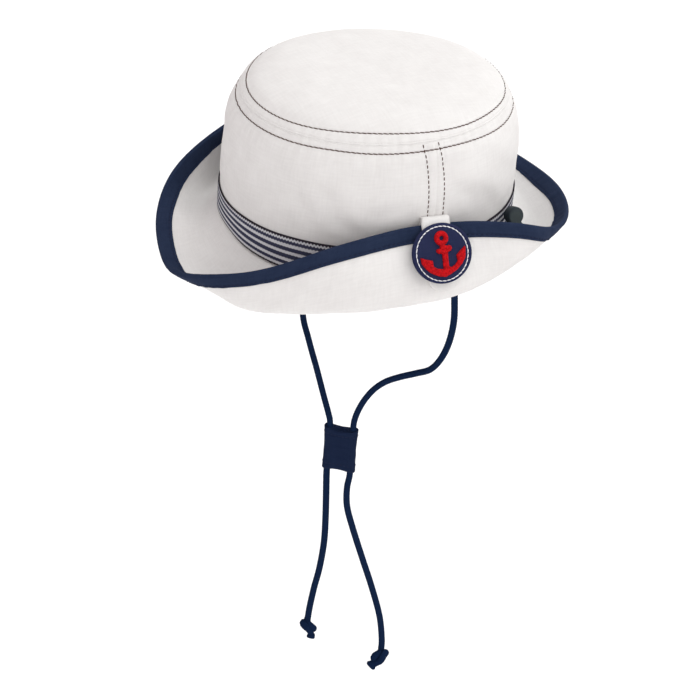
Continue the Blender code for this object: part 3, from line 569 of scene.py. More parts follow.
WHITE_CLOTH = cloth_finish("white cloth", (0.73, 0.71, 0.695), (0.86, 0.845, 0.83), 0.75 * MM, 0.16 * MM)
NAVY_CLOTH = cloth_finish("navy cloth", (0.010, 0.018, 0.046), (0.025, 0.038, 0.080), 0.6 * MM, 0.14 * MM,
                          specular=0.1, twill=True)
SLIDER_CLOTH = cloth_finish("slider cloth", (0.005, 0.011, 0.034), (0.014, 0.024, 0.060), 0.6 * MM, 0.14 * MM,
                            specular=0.05, twill=True)
BADGE_CLOTH = cloth_finish("badge cloth", (0.012, 0.016, 0.052), (0.026, 0.032, 0.082), 0.6 * MM, 0.14 * MM,
                           specular=0.1, twill=True)
BROWN_THREAD = thread_finish("brown thread", (0.036, 0.021, 0.018), (0.085, 0.053, 0.046))
DARK_THREAD = thread_finish("dark brown thread", (0.034, 0.012, 0.008), (0.095, 0.040, 0.028))
WHITE_THREAD = thread_finish("white thread", (0.88, 0.88, 0.90), (0.98, 0.98, 0.99))
NAVY_THREAD = thread_finish("navy thread", (0.010, 0.012, 0.034), (0.022, 0.030, 0.070), specular=0.1)
NAVY_CORD = thread_finish("navy cord", (0.003, 0.008, 0.026), (0.012, 0.026, 0.070), scale=1400.0, specular=0.0)
RED_THREAD = thread_finish("red thread", (0.03, 0.000, 0.001), (0.88, 0.004, 0.010), scale=750.0,
                           relief=0.3 * MM, specular=0.15)


def moulded_finish():
    """Dull moulded plastic, mottled by noise, with painted shade that darkens it towards its rounded rim."""
    made, tree, shader = new_finish("moulded stopper", 0.55, 0.25)
    _, share, _ = cloth_place(tree)
    speck = noise(tree, add(tree, "ShaderNodeTexCoord").outputs["Object"], 700.0, 3.0)
    # The share out from the stopper's middle, speckled: it drives the painted shade on the rounded rim.
    rim = reckon(tree, "MULTIPLY_ADD", speck, 0.10, share)
    ramp = add(tree, "ShaderNodeValToRGB", Fac=rim)
    # The face's own dark grey-green, then painted shade going to near black at the rounded rim.
    stops = ramp.color_ramp.elements
    stops[0].position, stops[0].color = 0.70, (0.048, 0.062, 0.066, 1)
    stops[1].position, stops[1].color = 0.99, (0.010, 0.018, 0.026, 1)
    stops.new(0.84).color = (0.036, 0.048, 0.054, 1)
    tree.links.new(ramp.outputs[0], shader.inputs["Base Color"])
    set_grain(tree, shader, 0.4, 0.04 * MM, speck)
    return made


# Stripes from the band's upper edge down: the share of its width where each starts, its colour.
NAVY_STRIPE, WHITE_STRIPE, DARK_STRIPE = (0.050, 0.054, 0.096, 1), (0.74, 0.74, 0.78, 1), (0.028, 0.022, 0.032, 1)
STRIPES = (
    (0.0, DARK_STRIPE), (0.058, WHITE_STRIPE), (0.125, NAVY_STRIPE), (0.224, WHITE_STRIPE),
    (0.323, NAVY_STRIPE), (0.438, WHITE_STRIPE), (0.528, NAVY_STRIPE), (0.652, WHITE_STRIPE),
    (0.745, NAVY_STRIPE), (0.844, WHITE_STRIPE), (0.925, DARK_STRIPE),
)


def striped_finish():
    """Fine knitted stripes across the band: steps of colour by the share of its width, blurred a
    little. Their edges are toothed by a sine wave that dies away from the band's upper edge
    down, and waver with small noise, over knitted ribs."""
    made, tree, shader = new_finish("striped cloth", 0.9, 0.12)
    place, along, share = cloth_place(tree)
    fine = noise(tree, place, 1100.0)
    high = reckon(tree, "MAXIMUM", reckon(tree, "SUBTRACT", 0.34, share), 0.0)
    jag = reckon(tree, "MULTIPLY_ADD", high, 0.055, 0.004)
    teeth = reckon(tree, "SINE", reckon(tree, "MULTIPLY", along, TURN / (1.9 * MM)))
    stepped = reckon(tree, "MULTIPLY_ADD", teeth, jag, share)
    wavering = reckon(tree, "MULTIPLY_ADD", reckon(tree, "SUBTRACT", fine, 0.5), 0.03, stepped)
    ramp = add(tree, "ShaderNodeValToRGB", Fac=wavering)
    stops = ramp.color_ramp.elements
    stops[0].position, stops[0].color = 0.0, STRIPES[0][1]
    stops[1].position, stops[1].color = 1.0, STRIPES[-1][1]
    blur = 0.008
    for (edge, colour), (_, former) in zip(STRIPES[1:], STRIPES[:-1]):
        stops.new(edge - blur).color = former
        stops.new(edge + blur).color = colour
    slow = noise(tree, place, 420.0, 3.0)
    shade = add(tree, "ShaderNodeMix", {"data_type": "RGBA", "blend_type": "MULTIPLY"})
    shade.inputs[0].default_value = 1.0
    tree.links.new(ramp.outputs[0], shade.inputs[6])
    grey = reckon(tree, "MULTIPLY_ADD", slow, 0.7, 0.62)
    tree.links.new(grey, shade.inputs[7])
    tree.links.new(shade.outputs[2], shader.inputs["Base Color"])
    ribs_along = reckon(tree, "SINE", reckon(tree, "MULTIPLY", along, TURN / (0.9 * MM)))
    ribs_down = reckon(tree, "SINE", reckon(tree, "MULTIPLY", share, TURN * 24))
    ribs = reckon(tree, "MULTIPLY", ribs_along, ribs_down)
    set_grain(tree, shader, 0.7, 0.2 * MM, reckon(tree, "MULTIPLY_ADD", fine, 1.0, ribs))
    return made


STOPPER_FINISH = moulded_finish()
STRIPED_CLOTH = striped_finish()


# Camera, light and floor, then the cords

CAMERA_BEARING, CAMERA_PITCH, CAMERA_ROLL = 60.0, 34.7, 4.25
CAMERA_DISTANCE, CAMERA_SCALE = 0.96, 1694.0
CAMERA_ASIDE, CAMERA_UP = 0.0092, 0.0871
PICTURE_WIDTH, SENSOR_WIDTH = 700, 36.0


def camera_axes():
    """The picture's right and up, the way back to the viewer, and the viewer's place: it is at
    CAMERA_DISTANCE, moved aside and up in the picture's own plane."""
    turn, pitch, roll = (math.radians(x) for x in (CAMERA_BEARING, CAMERA_PITCH, CAMERA_ROLL))
    back = np.array([math.sin(turn) * math.cos(pitch), -math.cos(turn) * math.cos(pitch), math.sin(pitch)])
    level = np.array([math.cos(turn), math.sin(turn), 0.0])
    upright = np.cross(back, level)
    right = math.cos(roll) * level + math.sin(roll) * upright
    up = -math.sin(roll) * level + math.cos(roll) * upright
    return right, up, back, CAMERA_DISTANCE * back - CAMERA_ASIDE * right - CAMERA_UP * up


def stand(thing, *axes):
    """An object put into the scene by its own three axes and, where it is given, its place."""
    rows = np.eye(4)
    rows[:3, : len(axes)] = np.stack(axes, 1)
    thing.matrix_world = mathutils.Matrix(rows.tolist())
    bpy.context.scene.collection.objects.link(thing)


def set_camera():
    """The camera at the photograph's angle, with the photograph's field of view."""
    lens = bpy.data.cameras.new("camera")
    lens.sensor_width = SENSOR_WIDTH
    lens.lens = CAMERA_SCALE * CAMERA_DISTANCE / PICTURE_WIDTH * SENSOR_WIDTH
    camera = bpy.data.objects.new("camera", lens)
    stand(camera, *camera_axes())
    bpy.context.scene.camera = camera


# Broad soft lamps, far away. Columns: degrees round from the viewer to the picture's right, degrees
# up, share of full white light.
LAMPS = {
    "lamp_at_viewer": (0, 12, 0.20),
    "lamp_right_front": (60, 42, 0.17),
    "lamp_right_back": (120, 42, 0.33),
    "lamp_behind": (180, 12, 0.15),
    "lamp_overhead": (0, 90, 0.27),
}


def set_light():
    """An even, faintly warm sky and five broad soft lamps, most of the light from the right and
    above."""
    scene = bpy.context.scene
    scene.view_settings.view_transform = "Standard"
    world = bpy.data.worlds.new("white sky")
    world.use_nodes = True
    sky = world.node_tree.nodes["Background"].inputs
    sky["Color"].default_value, sky["Strength"].default_value = (1.0, 0.912, 0.928, 1), 0.53
    scene.world = world
    right, _, near, _ = camera_axes()
    near = unit(near * [1, 1, 0])
    for name, (round_to, up, share) in LAMPS.items():
        lamp = bpy.data.lights.new(name, "SUN")
        lamp.energy, lamp.angle, lamp.color = math.pi * share, math.radians(55), (0.95, 1.0, 0.99)
        thing = bpy.data.objects.new(name, lamp)
        level = near * math.cos(math.radians(round_to)) + right * math.sin(math.radians(round_to))
        back = level * math.cos(math.radians(up)) + [0, 0, math.sin(math.radians(up))]
        side = unit(np.cross([0.01, 0.02, 1.0], back))
        stand(thing, side, np.cross(back, side), back)


def lay_floor():
    """A plain white floor, far enough down to clear the cords."""
    made, tree, shader = new_finish("white floor", 1.0, 0.0)
    mottle = noise(tree, add(tree, "ShaderNodeTexCoord").outputs["Object"], 3.0)
    set_colour(tree, shader, mottle, (0.97, 0.97, 0.97), (1, 1, 1))
    mesh = bpy.data.meshes.new("floor")
    far, low = 12.0, -1.2
    mesh.from_pydata([(-far, -far, low), (far, -far, low), (far, far, low), (-far, far, low)], [], [(0, 1, 2, 3)])
    mesh.materials.append(made)
    floor = bpy.data.objects.new("floor", mesh)
    bpy.context.scene.collection.objects.link(floor)


set_camera()
set_light()
lay_floor()


BRAID_LAY = 7.5 * MM  # how far along a cord one turn of a strand takes


def braided_cord(name, line, diameter, finish, thick=((0, 1), (1, 1))):
    """A round braid along a line: a tube whose radius swells where the strands of two opposite
    spirals lie on top, which is the product of two sines that wind opposite ways. thick gives how
    thick it is along the way: shares of its length and shares of its diameter."""
    line = even_line(line, 0.45 * MM)
    ahead, across, beside = carried(line)
    walked = walked_along(line)[:, None]
    angle = np.arange(30)[None, :] * (TURN / 30)
    lie = TURN * walked / BRAID_LAY
    strand = np.sin(4 * angle + 2 * lie) * np.sin(4 * angle - 2 * lie)
    radius = diameter / 2 * (0.985 + 0.055 * strand)
    fibre = 1 + 0.012 * np.sin(23 * lie + 3 * angle)
    fibre = fibre * np.interp(walked / walked[-1], *thick)
    wheel = np.cos(angle)[..., None] * across[:, None] + np.sin(angle)[..., None] * beside[:, None]
    points = line[:, None] + (radius * fibre)[..., None] * wheel
    flat = flat_grid(np.arange(31) / 30 * TURN * diameter / 2, walked[:, 0])
    return surface(name, points, finish, flat, poles=(line[0], line[-1]))


# The lines of the two overhand knots with their cut ends, in cord diameters.
# Columns: to the right in the picture, towards the viewer, down in the picture, thickness.
KNOT_LINES = {
    "left": (
        (0.00, 0.00, -0.50, 1.12), (0.00, -0.15, 0.20, 1.20), (-0.40, 0.40, 0.62, 1.30),
        (-1.08, 0.70, 1.00, 1.35), (-1.25, 0.20, 1.62, 1.35), (-0.75, -0.55, 2.02, 1.30),
        (-0.02, -0.85, 1.72, 1.25), (0.50, -0.60, 1.08, 1.30), (0.80, 0.00, 0.56, 1.35),
        (0.52, 0.80, 0.72, 1.30), (0.18, 1.00, 1.35, 1.30), (-0.22, 0.80, 1.92, 1.30),
        (-0.85, 0.40, 2.30, 1.30), (-1.40, 0.15, 2.55, 1.50), (-1.75, 0.05, 2.82, 1.90),
        (-1.92, 0.00, 2.98, 1.90), (-2.08, 0.00, 3.14, 1.50),
    ),
    "right": (
        (0.00, 0.00, -0.60, 1.08), (-0.02, -0.10, -0.10, 1.12), (0.30, 0.45, 0.42, 1.20),
        (0.84, 0.65, 0.90, 1.25), (1.12, 0.10, 1.24, 1.20), (0.80, -0.55, 1.42, 1.20),
        (0.15, -0.75, 1.02, 1.25), (-0.38, -0.50, 0.48, 1.40), (-0.62, 0.05, 0.30, 1.50),
        (-0.30, 0.60, 0.72, 1.35), (0.25, 0.75, 1.22, 1.25), (0.56, 0.40, 1.72, 1.20),
        (0.62, 0.10, 2.10, 1.15), (0.66, 0.00, 2.45, 1.50), (0.62, 0.00, 2.75, 1.50),
        (0.58, 0.00, 2.95, 1.25),
    ),
}


CORDS = {}
for side, route in (("left", LEFT_CORD_ROUTE), ("right", RIGHT_CORD_ROUTE)):
    line = even_line(smooth_rows(np.array(route) * MM, 24), 1.5 * MM)
    cord = braided_cord(f"cord_{side}", line, CORD_DIAMETER, NAVY_CORD, ((0, 0.50, 0.62, 1), (1, 1, 1.12, 1.16)))
    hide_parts(f"chin_cord_{side}")
    CORDS[side] = (cord, line)


def build_knot(side):
    """The overhand knot at a cord's end with its short tail, on the chosen points of its line,
    which lie round the cord's end in the picture's own directions."""
    cord, line = CORDS[side]
    local = smooth_rows(np.array(KNOT_LINES[side]), 14)
    right, up, near, _ = camera_axes()
    path = line[-1] + CORD_DIAMETER * local[:, :3] @ np.array([right, near, -up])
    walked = walked_along(path)
    thick = (walked / walked[-1], local[:, 3])
    knot = braided_cord(f"cord_knot_{side}", path, CORD_DIAMETER, NAVY_CORD, thick)
    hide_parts(f"knot_{side}")
    return knot


KNOTS = {side: build_knot(side) for side in CORDS}


def build_slider():
    """The cloth slider: a flattened tube of cloth with rolled hems. Its section is a rounded bar
    whose half sizes swell a little to the middle, and its ends sag in between the cords."""
    turn = math.radians(SLIDER_TURN)
    wide = np.array([math.cos(turn), math.sin(turn), 0.0])
    thick = np.cross(UP, wide)
    angle = np.arange(96) * (TURN / 96)
    out_x, out_y = squared_off(np.cos(angle), 0.42), squared_off(np.sin(angle), 0.80)
    half = SLIDER_HEIGHT / 2
    levels = np.concatenate([
        np.stack([[0.25, 0.55, 0.80, 0.93, 0.985], [0.985, 0.985, 0.988, 0.994, 1.0]], 1),
        np.stack([np.ones(41), np.linspace(0.985, -0.985, 41)], 1),
        np.stack([[0.985, 0.93, 0.80, 0.55, 0.25], [-1.0, -0.994, -0.988, -0.985, -0.985]], 1),
    ])
    rings = []
    for reach, level in levels:
        height = level * half
        edge = abs(abs(height) - half)
        hem = 0.35 * MM * hump(edge - 1.6 * MM, 1.3 * MM) - 0.30 * MM * hump(edge - SLIDER_HEM, 0.5 * MM)
        waist = 0.5 * MM * (1 - (height / half) ** 2)
        x = out_x * (SLIDER_WIDTH / 2 - waist) * reach
        y = out_y * (SLIDER_THICKNESS / 2 * (0.86 + 0.14 * (out_x * 0.9) ** 2) + hem * np.abs(out_y)) * reach
        sag = 0.9 * MM * np.cos(out_x * math.pi * 0.9) * np.sign(height) * ease((abs(level) - 0.5) / 0.5)
        rings.append(x[:, None] * wide + y[:, None] * thick + (height - sag * 0.8)[:, None] * UP)
    middle = np.array(SLIDER_MIDDLE)
    points = np.array(rings) + middle
    points += 0.12 * MM * waves(points, 5, 5 * MM, 12 * MM)[..., None] * unit(points - middle)
    flat = flat_grid(np.append(angle, TURN) * 9 * MM, levels[:, 1] * half)
    poles = (points[0].mean(0), points[-1].mean(0))
    piece = surface("slider", points, SLIDER_CLOTH, flat, poles=poles)
    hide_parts("cord_slider")
    for name, row in (("slider_stitches_top", 1), ("slider_stitches_bottom", -1)):
        height = row * (half - SLIDER_HEM)
        k = int(np.argmin(np.abs(levels[5:-5, 1] * half - height))) + 5
        loop = np.concatenate([points[k], points[k][:1]])
        away = unit((loop - middle) * [1, 1, 0])
        stitch_row(name, loop, away, NAVY_THREAD, HEM_STITCH)
    return piece


SLIDER = build_slider()


# The crown


def crown_table():
    """The crown's profile by the distance climbed: height, half width, half length, slackness."""
    rise, inset = np.array(SIDE_PROFILE).T
    inset = inset * CROWN_INSET
    side = [rise * CROWN_RISE, CROWN_WIDTH / 2 - inset, CROWN_LENGTH / 2 - inset, ease((rise - 0.6) / 0.35)]
    rise, reach = np.array(TIP_PROFILE).T
    wide, long = CROWN_WIDTH / 2 - CROWN_INSET, CROWN_LENGTH / 2 - CROWN_INSET
    tip = [CROWN_RISE + rise * TIP_RISE, wide * reach, long * reach, reach**2]
    table = np.concatenate([np.stack(side, 1), np.stack(tip, 1)])
    path = np.stack([table[:, 0], table[:, 1:3].mean(1)], 1)
    return walked_along(path), table


CLIMB, CROWN_TABLE = crown_table()
SEAM = CLIMB[len(SIDE_PROFILE) - 1]
CROWN_TOP = CLIMB[-1]
CROWN_ROUND = 0.5216  # distance round the crown's foot


def climb_to(height):
    """The distance climbed to a height on the crown's side."""
    return np.interp(height, CROWN_TABLE[:, 0], CLIMB)


def crown(bearing, climb):
    """The crown's outer face without its relief: ovals whose half sizes, height and slackness
    come from the profile, puffed out by bearing, with the lowest part let down to the brim."""
    height, wide, long, slack = np.moveaxis(through(CLIMB, CROWN_TABLE, climb), -1, 0)
    puff = np.moveaxis(read_round(PUFF_ROUND, bearing), -1, 0)
    foot = np.clip(1 - height / (SIDE_PROFILE[1][0] * CROWN_RISE), 0, 1)
    turn = np.radians(bearing)
    height = height + puff[1] * slack
    x = (wide + puff[0] * slack) * np.sin(turn)
    y = CROWN_LEAN * height / CROWN_RISE - (long + puff[0] * slack) * np.cos(turn)
    seam = read_round(BRIM_ROUND[:, :1], bearing)[..., 0] + BRIM_CLOTH / 2
    return np.stack(np.broadcast_arrays(x, y, height + seam * foot), -1)


# Soft creases in the crown's side.
# Columns: bearing, climb, length, width, slant in degrees from level, depth; in millimetres.
CREASES = (
    (38, 40, 26, 5.0, -58, 0.9),
    (48, 46, 22, 4.0, -50, 0.7),
    (56, 30, 24, 4.5, -40, 0.7),
    (70, 38, 20, 4.0, 35, 0.6),
    (20, 36, 24, 5.5, 62, 0.7),
    (-5, 44, 22, 5.0, 55, 0.6),
    (104, 40, 22, 4.5, -42, 0.7),
    (114, 34, 26, 4.5, -48, 0.8),
    (126, 46, 20, 5.0, -38, 0.6),
    (150, 40, 26, 5.5, 40, 0.8),
    (178, 44, 26, 5.5, -50, 0.8),
    (-150, 38, 24, 5.0, 48, 0.8),
    (-122, 42, 22, 5.0, -44, 0.8),
    (-70, 40, 24, 4.5, 42, 0.8),
    (-48, 36, 24, 5.0, -52, 0.8),
    (-28, 44, 20, 5.0, 50, 0.6),
)


def row_drift(bearing):
    """How far in millimetres the sewn rows below and above the tip's seam stray upwards from even:
    soft bumps and steps read off the photograph."""
    b = degrees_past(bearing)
    below = 0.5 * hump(b - 48, 12) - 2.1 * ease((b - 92) / 42) * (1 - ease((b - 160) / 20))
    above = 1.7 * hump(b - 62, 26) - 0.9 * hump(b - 108, 20) - 1.3 * hump(b - 142, 18)
    return below, above


def crown_relief(bearing, climb, face):
    """How far the crown's cloth stands off its even shape: plump beside the seams, sunk along
    them and along the stitches, puckered across them, creased and slack between them."""
    up = (climb - SEAM) / MM
    plump = 0.32 * (ease((up + 6.6) / 1.8) - ease((up - 4.8) / 1.8))
    seam = -0.30 * hump(up - 0.7, 0.45) - 0.24 * hump(up + 0.75, 0.4) + 0.14 * hump(up, 0.5)
    below, above = row_drift(bearing)
    rows = -0.34 * (hump(up - above - SEAM_ROW / MM, 0.55) + hump(up - below + SEAM_ROW / MM, 0.55))
    pucker = puckers(np.radians(bearing), 11, (53, 61, 68, 77, 86, 97))
    pucker = pucker * (0.07 * hump(up, 6.5) + 0.05 * hump(up + 9, 6.0))
    upright = 0
    side = up < -1.0
    for seam_bearing in SIDE_SEAMS:
        aside = degrees_past(bearing, seam_bearing) * CROWN_ROUND / 360 / MM
        aside = aside * np.interp(climb, CLIMB, CROWN_TABLE[:, 1:3].mean(1) / (CROWN_WIDTH + CROWN_LENGTH) * 4)
        near = 0.26 * (ease((aside + 6.0) / 1.6) - ease((aside - 4.4) / 1.6))
        near = near - 0.42 * hump(aside, 0.6) + 0.12 * (hump(aside - 2, 1) + hump(aside + 2, 1))
        near = near - 0.32 * (hump(aside - SIDE_SEAM_ROW / MM, 0.6) + hump(aside + SIDE_SEAM_ROW / MM, 0.6))
        upright = upright + near * side * ease((-up - 0.5) / 2.0)
    creases = 0
    for at, high, long, wide, slant, deep in CREASES:
        over = degrees_past(bearing, at) * CROWN_ROUND / 360 / MM
        rise = climb / MM - high
        c, s = math.cos(math.radians(slant)), math.sin(math.radians(slant))
        along, across = over * c + rise * s, rise * c - over * s
        across = across + along**2 / 90
        fold = -hump(across, wide) + 0.7 * hump(across - 1.9 * wide, wide * 1.3)
        creases = creases + deep * fold * hump(along, long / 2)
    hold = ease((-up - 6) / 10) * ease((climb / MM - 19) / 8)
    slack = 0.55 * waves(face, 3, 34 * MM, 80 * MM) * hold + 0.10 * waves(face, 4, 9 * MM, 18 * MM) * hold
    on_tip = ease((up - 7) / 16)
    slack = slack + on_tip * (0.60 * waves(face, 7, 45 * MM, 95 * MM) + 0.09 * waves(face, 8, 10 * MM, 22 * MM))
    return (plump + seam + rows + pucker + upright + creases * hold + slack) * MM


def on_crown(bearing, climb, lift=0.0):
    """Points on the crown's cloth with its relief, lifted square to it, and the normals there,
    from the differences of points a little beside them."""
    bearing, climb = np.broadcast_arrays(np.asarray(bearing, float), np.asarray(climb, float))
    face = crown(bearing, climb)
    beside = crown(bearing + 0.15, climb) - crown(bearing - 0.15, climb)
    above = crown(bearing, np.minimum(climb + 0.2 * MM, CROWN_TOP)) - crown(bearing, climb - 0.2 * MM)
    normal = unit(np.cross(beside, above))
    return face + (crown_relief(bearing, climb, face) + lift)[..., None] * normal, normal


def crown_bearings():
    """Bearings round the crown, close together across its upright seams."""
    even = np.linspace(-180, 180, 350, endpoint=False)
    near = 7.5 * MM / CROWN_ROUND * 360
    keep = np.ones(len(even), bool)
    close = []
    for seam in SIDE_SEAMS:
        keep &= np.abs(degrees_past(even, seam)) > near + 0.4
        close.append(seam + np.linspace(-near, near, 33))
    return np.sort(np.concatenate([even[keep], *close]))


ROUND_CROWN = crown_bearings()


def ring_flat(bearings, heights):
    """The flat cloth's place of a ring: distance round the crown's foot, and height."""
    closed = np.append(bearings, bearings[0] + 360) / 360 * CROWN_ROUND
    return flat_grid(closed, heights)


def build_crown_side():
    """The crown's side as a closed wall: outer rows up to the seam, inner rows back down."""
    low = np.arange(0, SEAM - 9 * MM, 1.25 * MM)
    high = np.linspace(SEAM - 9 * MM, SEAM - 0.02 * MM, 37)
    outer = np.concatenate([low, high])
    inner = outer[::-1][::3]
    face, normal = on_crown(ROUND_CROWN[None, :], outer[:, None])
    back, _ = on_crown(ROUND_CROWN[None, :], inner[:, None], -CROWN_CLOTH)
    climb = np.concatenate([outer, inner, outer[:1]])
    piece = surface("crown_wall", np.concatenate([face, back]), WHITE_CLOTH,
                    ring_flat(ROUND_CROWN, climb), loop_rows=True)
    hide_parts("crown_side")
    return piece


def build_crown_tip():
    """The crown's tip as a closed sheet, from its middle out to the seam and back underneath."""
    edge = np.linspace(SEAM + 0.02 * MM, SEAM + 9 * MM, 36)
    rest = np.linspace(SEAM + 10.2 * MM, CROWN_TOP - 1.2 * MM, 34)
    outer = np.concatenate([edge, rest])[::-1]
    inner = outer[::-1][::2]
    face, _ = on_crown(ROUND_CROWN[None, :], outer[:, None])
    back, _ = on_crown(ROUND_CROWN[None, :], inner[:, None], -CROWN_CLOTH)
    points = np.concatenate([face, back])
    poles = [face[0].mean(0), back[-1].mean(0)]
    closed = np.concatenate([points, points[:, :1]], 1)[..., :2]
    piece = surface("crown_top", points, WHITE_CLOTH, closed, poles=poles)
    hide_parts("crown_tip")
    return piece


def ring_line(climb, row, lift=0.0):
    """A closed line round the crown at one climb, straying as its row of stitches does, and the
    normals along it."""
    return on_crown(ROUND, climb + row_drift(ROUND)[row] * MM, lift)


build_crown_side()
build_crown_tip()
for row, (name, sign) in enumerate((("stitches_below_seam", -1), ("stitches_above_seam", 1))):
    line, normals = ring_line(SEAM + sign * SEAM_ROW, row)
    stitch_row(name, line, normals, DARK_THREAD, RING_STITCH, sink=0.22, slant=0.22 * MM)
    line, normals = ring_line(SEAM + sign * SEAM_ROW, row, -CROWN_CLOTH)
    stitch_row(name + "_inside", line, -normals, BROWN_THREAD, RING_STITCH_INSIDE)


def upright_line(seam, aside, low, high, lift=0.0, lean=0.0):
    """A line up the crown at a distance beside one of its upright seams. Above its lower 40
    percent it leans over by the square of the height there, to lean at its top."""
    climb = np.linspace(low, high, 160)
    reach = np.interp(climb, CLIMB, CROWN_TABLE[:, 1:3].mean(1))
    share = np.clip((np.linspace(0, 1, 160) - 0.4) / 0.6, 0, 1)
    bearing = seam + np.degrees((aside + lean * share**2) / reach)
    return on_crown(bearing, climb, lift)


# Columns: name, seam, side of it, lean of the row at its top.
UPRIGHT_ROWS = (
    ("left_front", SIDE_SEAMS[0], -1, -2.2 * MM), ("left_back", SIDE_SEAMS[0], 1, -2.9 * MM),
    ("right_front", SIDE_SEAMS[1], -1, 0.0), ("right_back", SIDE_SEAMS[1], 1, 0.0),
)
for name, seam, sign, lean in UPRIGHT_ROWS:
    run = (seam, sign * SIDE_SEAM_ROW, climb_to(BAND_TOP) + 0.5 * MM, SEAM - 0.8 * MM)
    line, normals = upright_line(*run, lean=lean)
    stitch_row(f"seam_stitches_{name}", line, normals, DARK_THREAD, UPRIGHT_STITCH, slant=0.08 * MM, closed=False)
    line, normals = upright_line(*run, lift=-CROWN_CLOTH)
    stitch_row(f"seam_stitches_{name}_inside", line, -normals, BROWN_THREAD, UPRIGHT_STITCH_INSIDE, closed=False)


# The brim


def brim_curve(bearing, share):
    """The brim's middle face without relief: across each section a cubic curve from the crown's
    seam past two guides to the edge, all read round the crown. share has one more axis."""
    seam, edge_out, edge_up, out_1, down_1, out_2, down_2 = np.moveaxis(
        read_round(BRIM_ROUND, bearing), -1, 0)[..., None]
    start, first = (1 - share) ** 3, 3 * share * (1 - share) ** 2
    second, end = 3 * share**2 * (1 - share), share**3
    out = first * out_1 + second * out_2 + end * edge_out - start * CROWN_CLOTH / 2
    up = start * seam + first * (seam - down_1) + second * (seam - down_2) + end * edge_up
    points = oval_point(bearing)[:, None] + out[..., None] * oval_outward(bearing)[:, None]
    points[..., 2] = up
    return points


SHARES = np.linspace(0, 1, 121)


def on_brim(bearing, inward, lift=0.0, relief=1.0):
    """Points on the brim's cloth at distances in from its edge, with the normals on its upper
    face and the directions towards the edge. bearing is (n), inward and lift are (n, k)."""
    bearing = np.asarray(bearing, float)
    inward = np.broadcast_to(np.asarray(inward, float), (len(bearing), np.shape(inward)[-1]))
    fine = brim_curve(bearing, SHARES)
    beside = brim_curve(bearing + 0.4, SHARES) - brim_curve(bearing - 0.4, SHARES)
    along = np.gradient(fine, axis=1)
    normal = unit(np.cross(along, beside))
    steps = np.linalg.norm(np.diff(fine, axis=1), axis=-1)
    walked = np.concatenate([np.zeros((len(fine), 1)), np.cumsum(steps, axis=1)], axis=1)
    places = walked[:, -1:] - inward
    low = np.stack([np.searchsorted(w, p, side="right") for w, p in zip(walked, places)]) - 1
    low = np.clip(low, 0, len(SHARES) - 2)
    row = np.arange(len(fine))[:, None]
    past = ((places - walked[row, low]) / steps[row, low])[..., None]
    read = [grid[row, low] * (1 - past) + grid[row, low + 1] * past for grid in (fine, normal, along)]
    point, normal, edgeward = read[0], unit(read[1]), unit(read[2])
    width = walked[:, -1:]
    free = ease(inward / (8 * MM)) * ease((width - inward) / (9 * MM))
    slack = 0.55 * waves(point, 21, 30 * MM, 75 * MM) + 0.10 * waves(point, 22, 9 * MM, 20 * MM)
    pucker = puckers(np.radians(bearing)[:, None], 31, (58, 67, 79, 91, 104, 118))
    pucker = 0.055 * pucker * hump(inward / MM - 9, 6.5) + 0.04 * pucker * hump((width - inward) / MM, 6)
    bend = relief * (slack * free + pucker) * MM
    return point + (bend + lift)[..., None] * normal, normal, edgeward


def brim_widths(bearing):
    """The brim's width along its cloth at each bearing."""
    fine = brim_curve(np.asarray(bearing, float), SHARES)
    return np.linalg.norm(np.diff(fine, axis=1), axis=-1).sum(axis=1)


ROUND_BRIM = np.linspace(-180, 180, 500, endpoint=False)
UNDER_TAPE = 8.0 * MM  # how far in from the edge the brim's even part starts, under the tape


def build_brim():
    """The brim as a closed ring of cloth: upper rows from the seam to inside the binding, and
    lower rows back."""
    wide = brim_widths(ROUND_BRIM)
    shares = np.concatenate([np.linspace(1, 0.24, 30), np.linspace(0.22, 0, 16)])
    inward = UNDER_TAPE + (wide[:, None] - UNDER_TAPE) * shares
    inward = np.concatenate([inward, np.full((len(wide), 1), 3.0 * MM)], 1)
    half = np.append(np.full(len(shares), BRIM_CLOTH / 2), 0.5 * MM)
    upper, _, _ = on_brim(ROUND_BRIM, inward, half)
    lower, _, _ = on_brim(ROUND_BRIM, inward, -half)
    points = np.concatenate([np.swapaxes(upper, 0, 1), np.swapaxes(lower, 0, 1)[::-1]])
    down = np.append(1 - shares, 1.1) * 60 * MM
    flat = ring_flat(ROUND_BRIM, np.concatenate([down, down[::-1] + 0.2, down[:1]]))
    piece = surface("brim_cloth", points, WHITE_CLOTH, flat, loop_rows=True)
    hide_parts("brim")
    return piece


def tape_width(bearing, side):
    """How much wider than even the folded tape lies on the brim's upper face (side 1) or lower
    face (side -1): soft bumps round the brim, read off the photograph."""
    b = degrees_past(bearing)
    upper = 0.26 * hump(b + 42, 16) + 0.22 * hump(b - 135, 8) + 0.18 * hump(b - 168, 9)
    lower = -0.19 * hump(b - 27, 11)
    return 1 + np.where(side > 0, upper, lower)


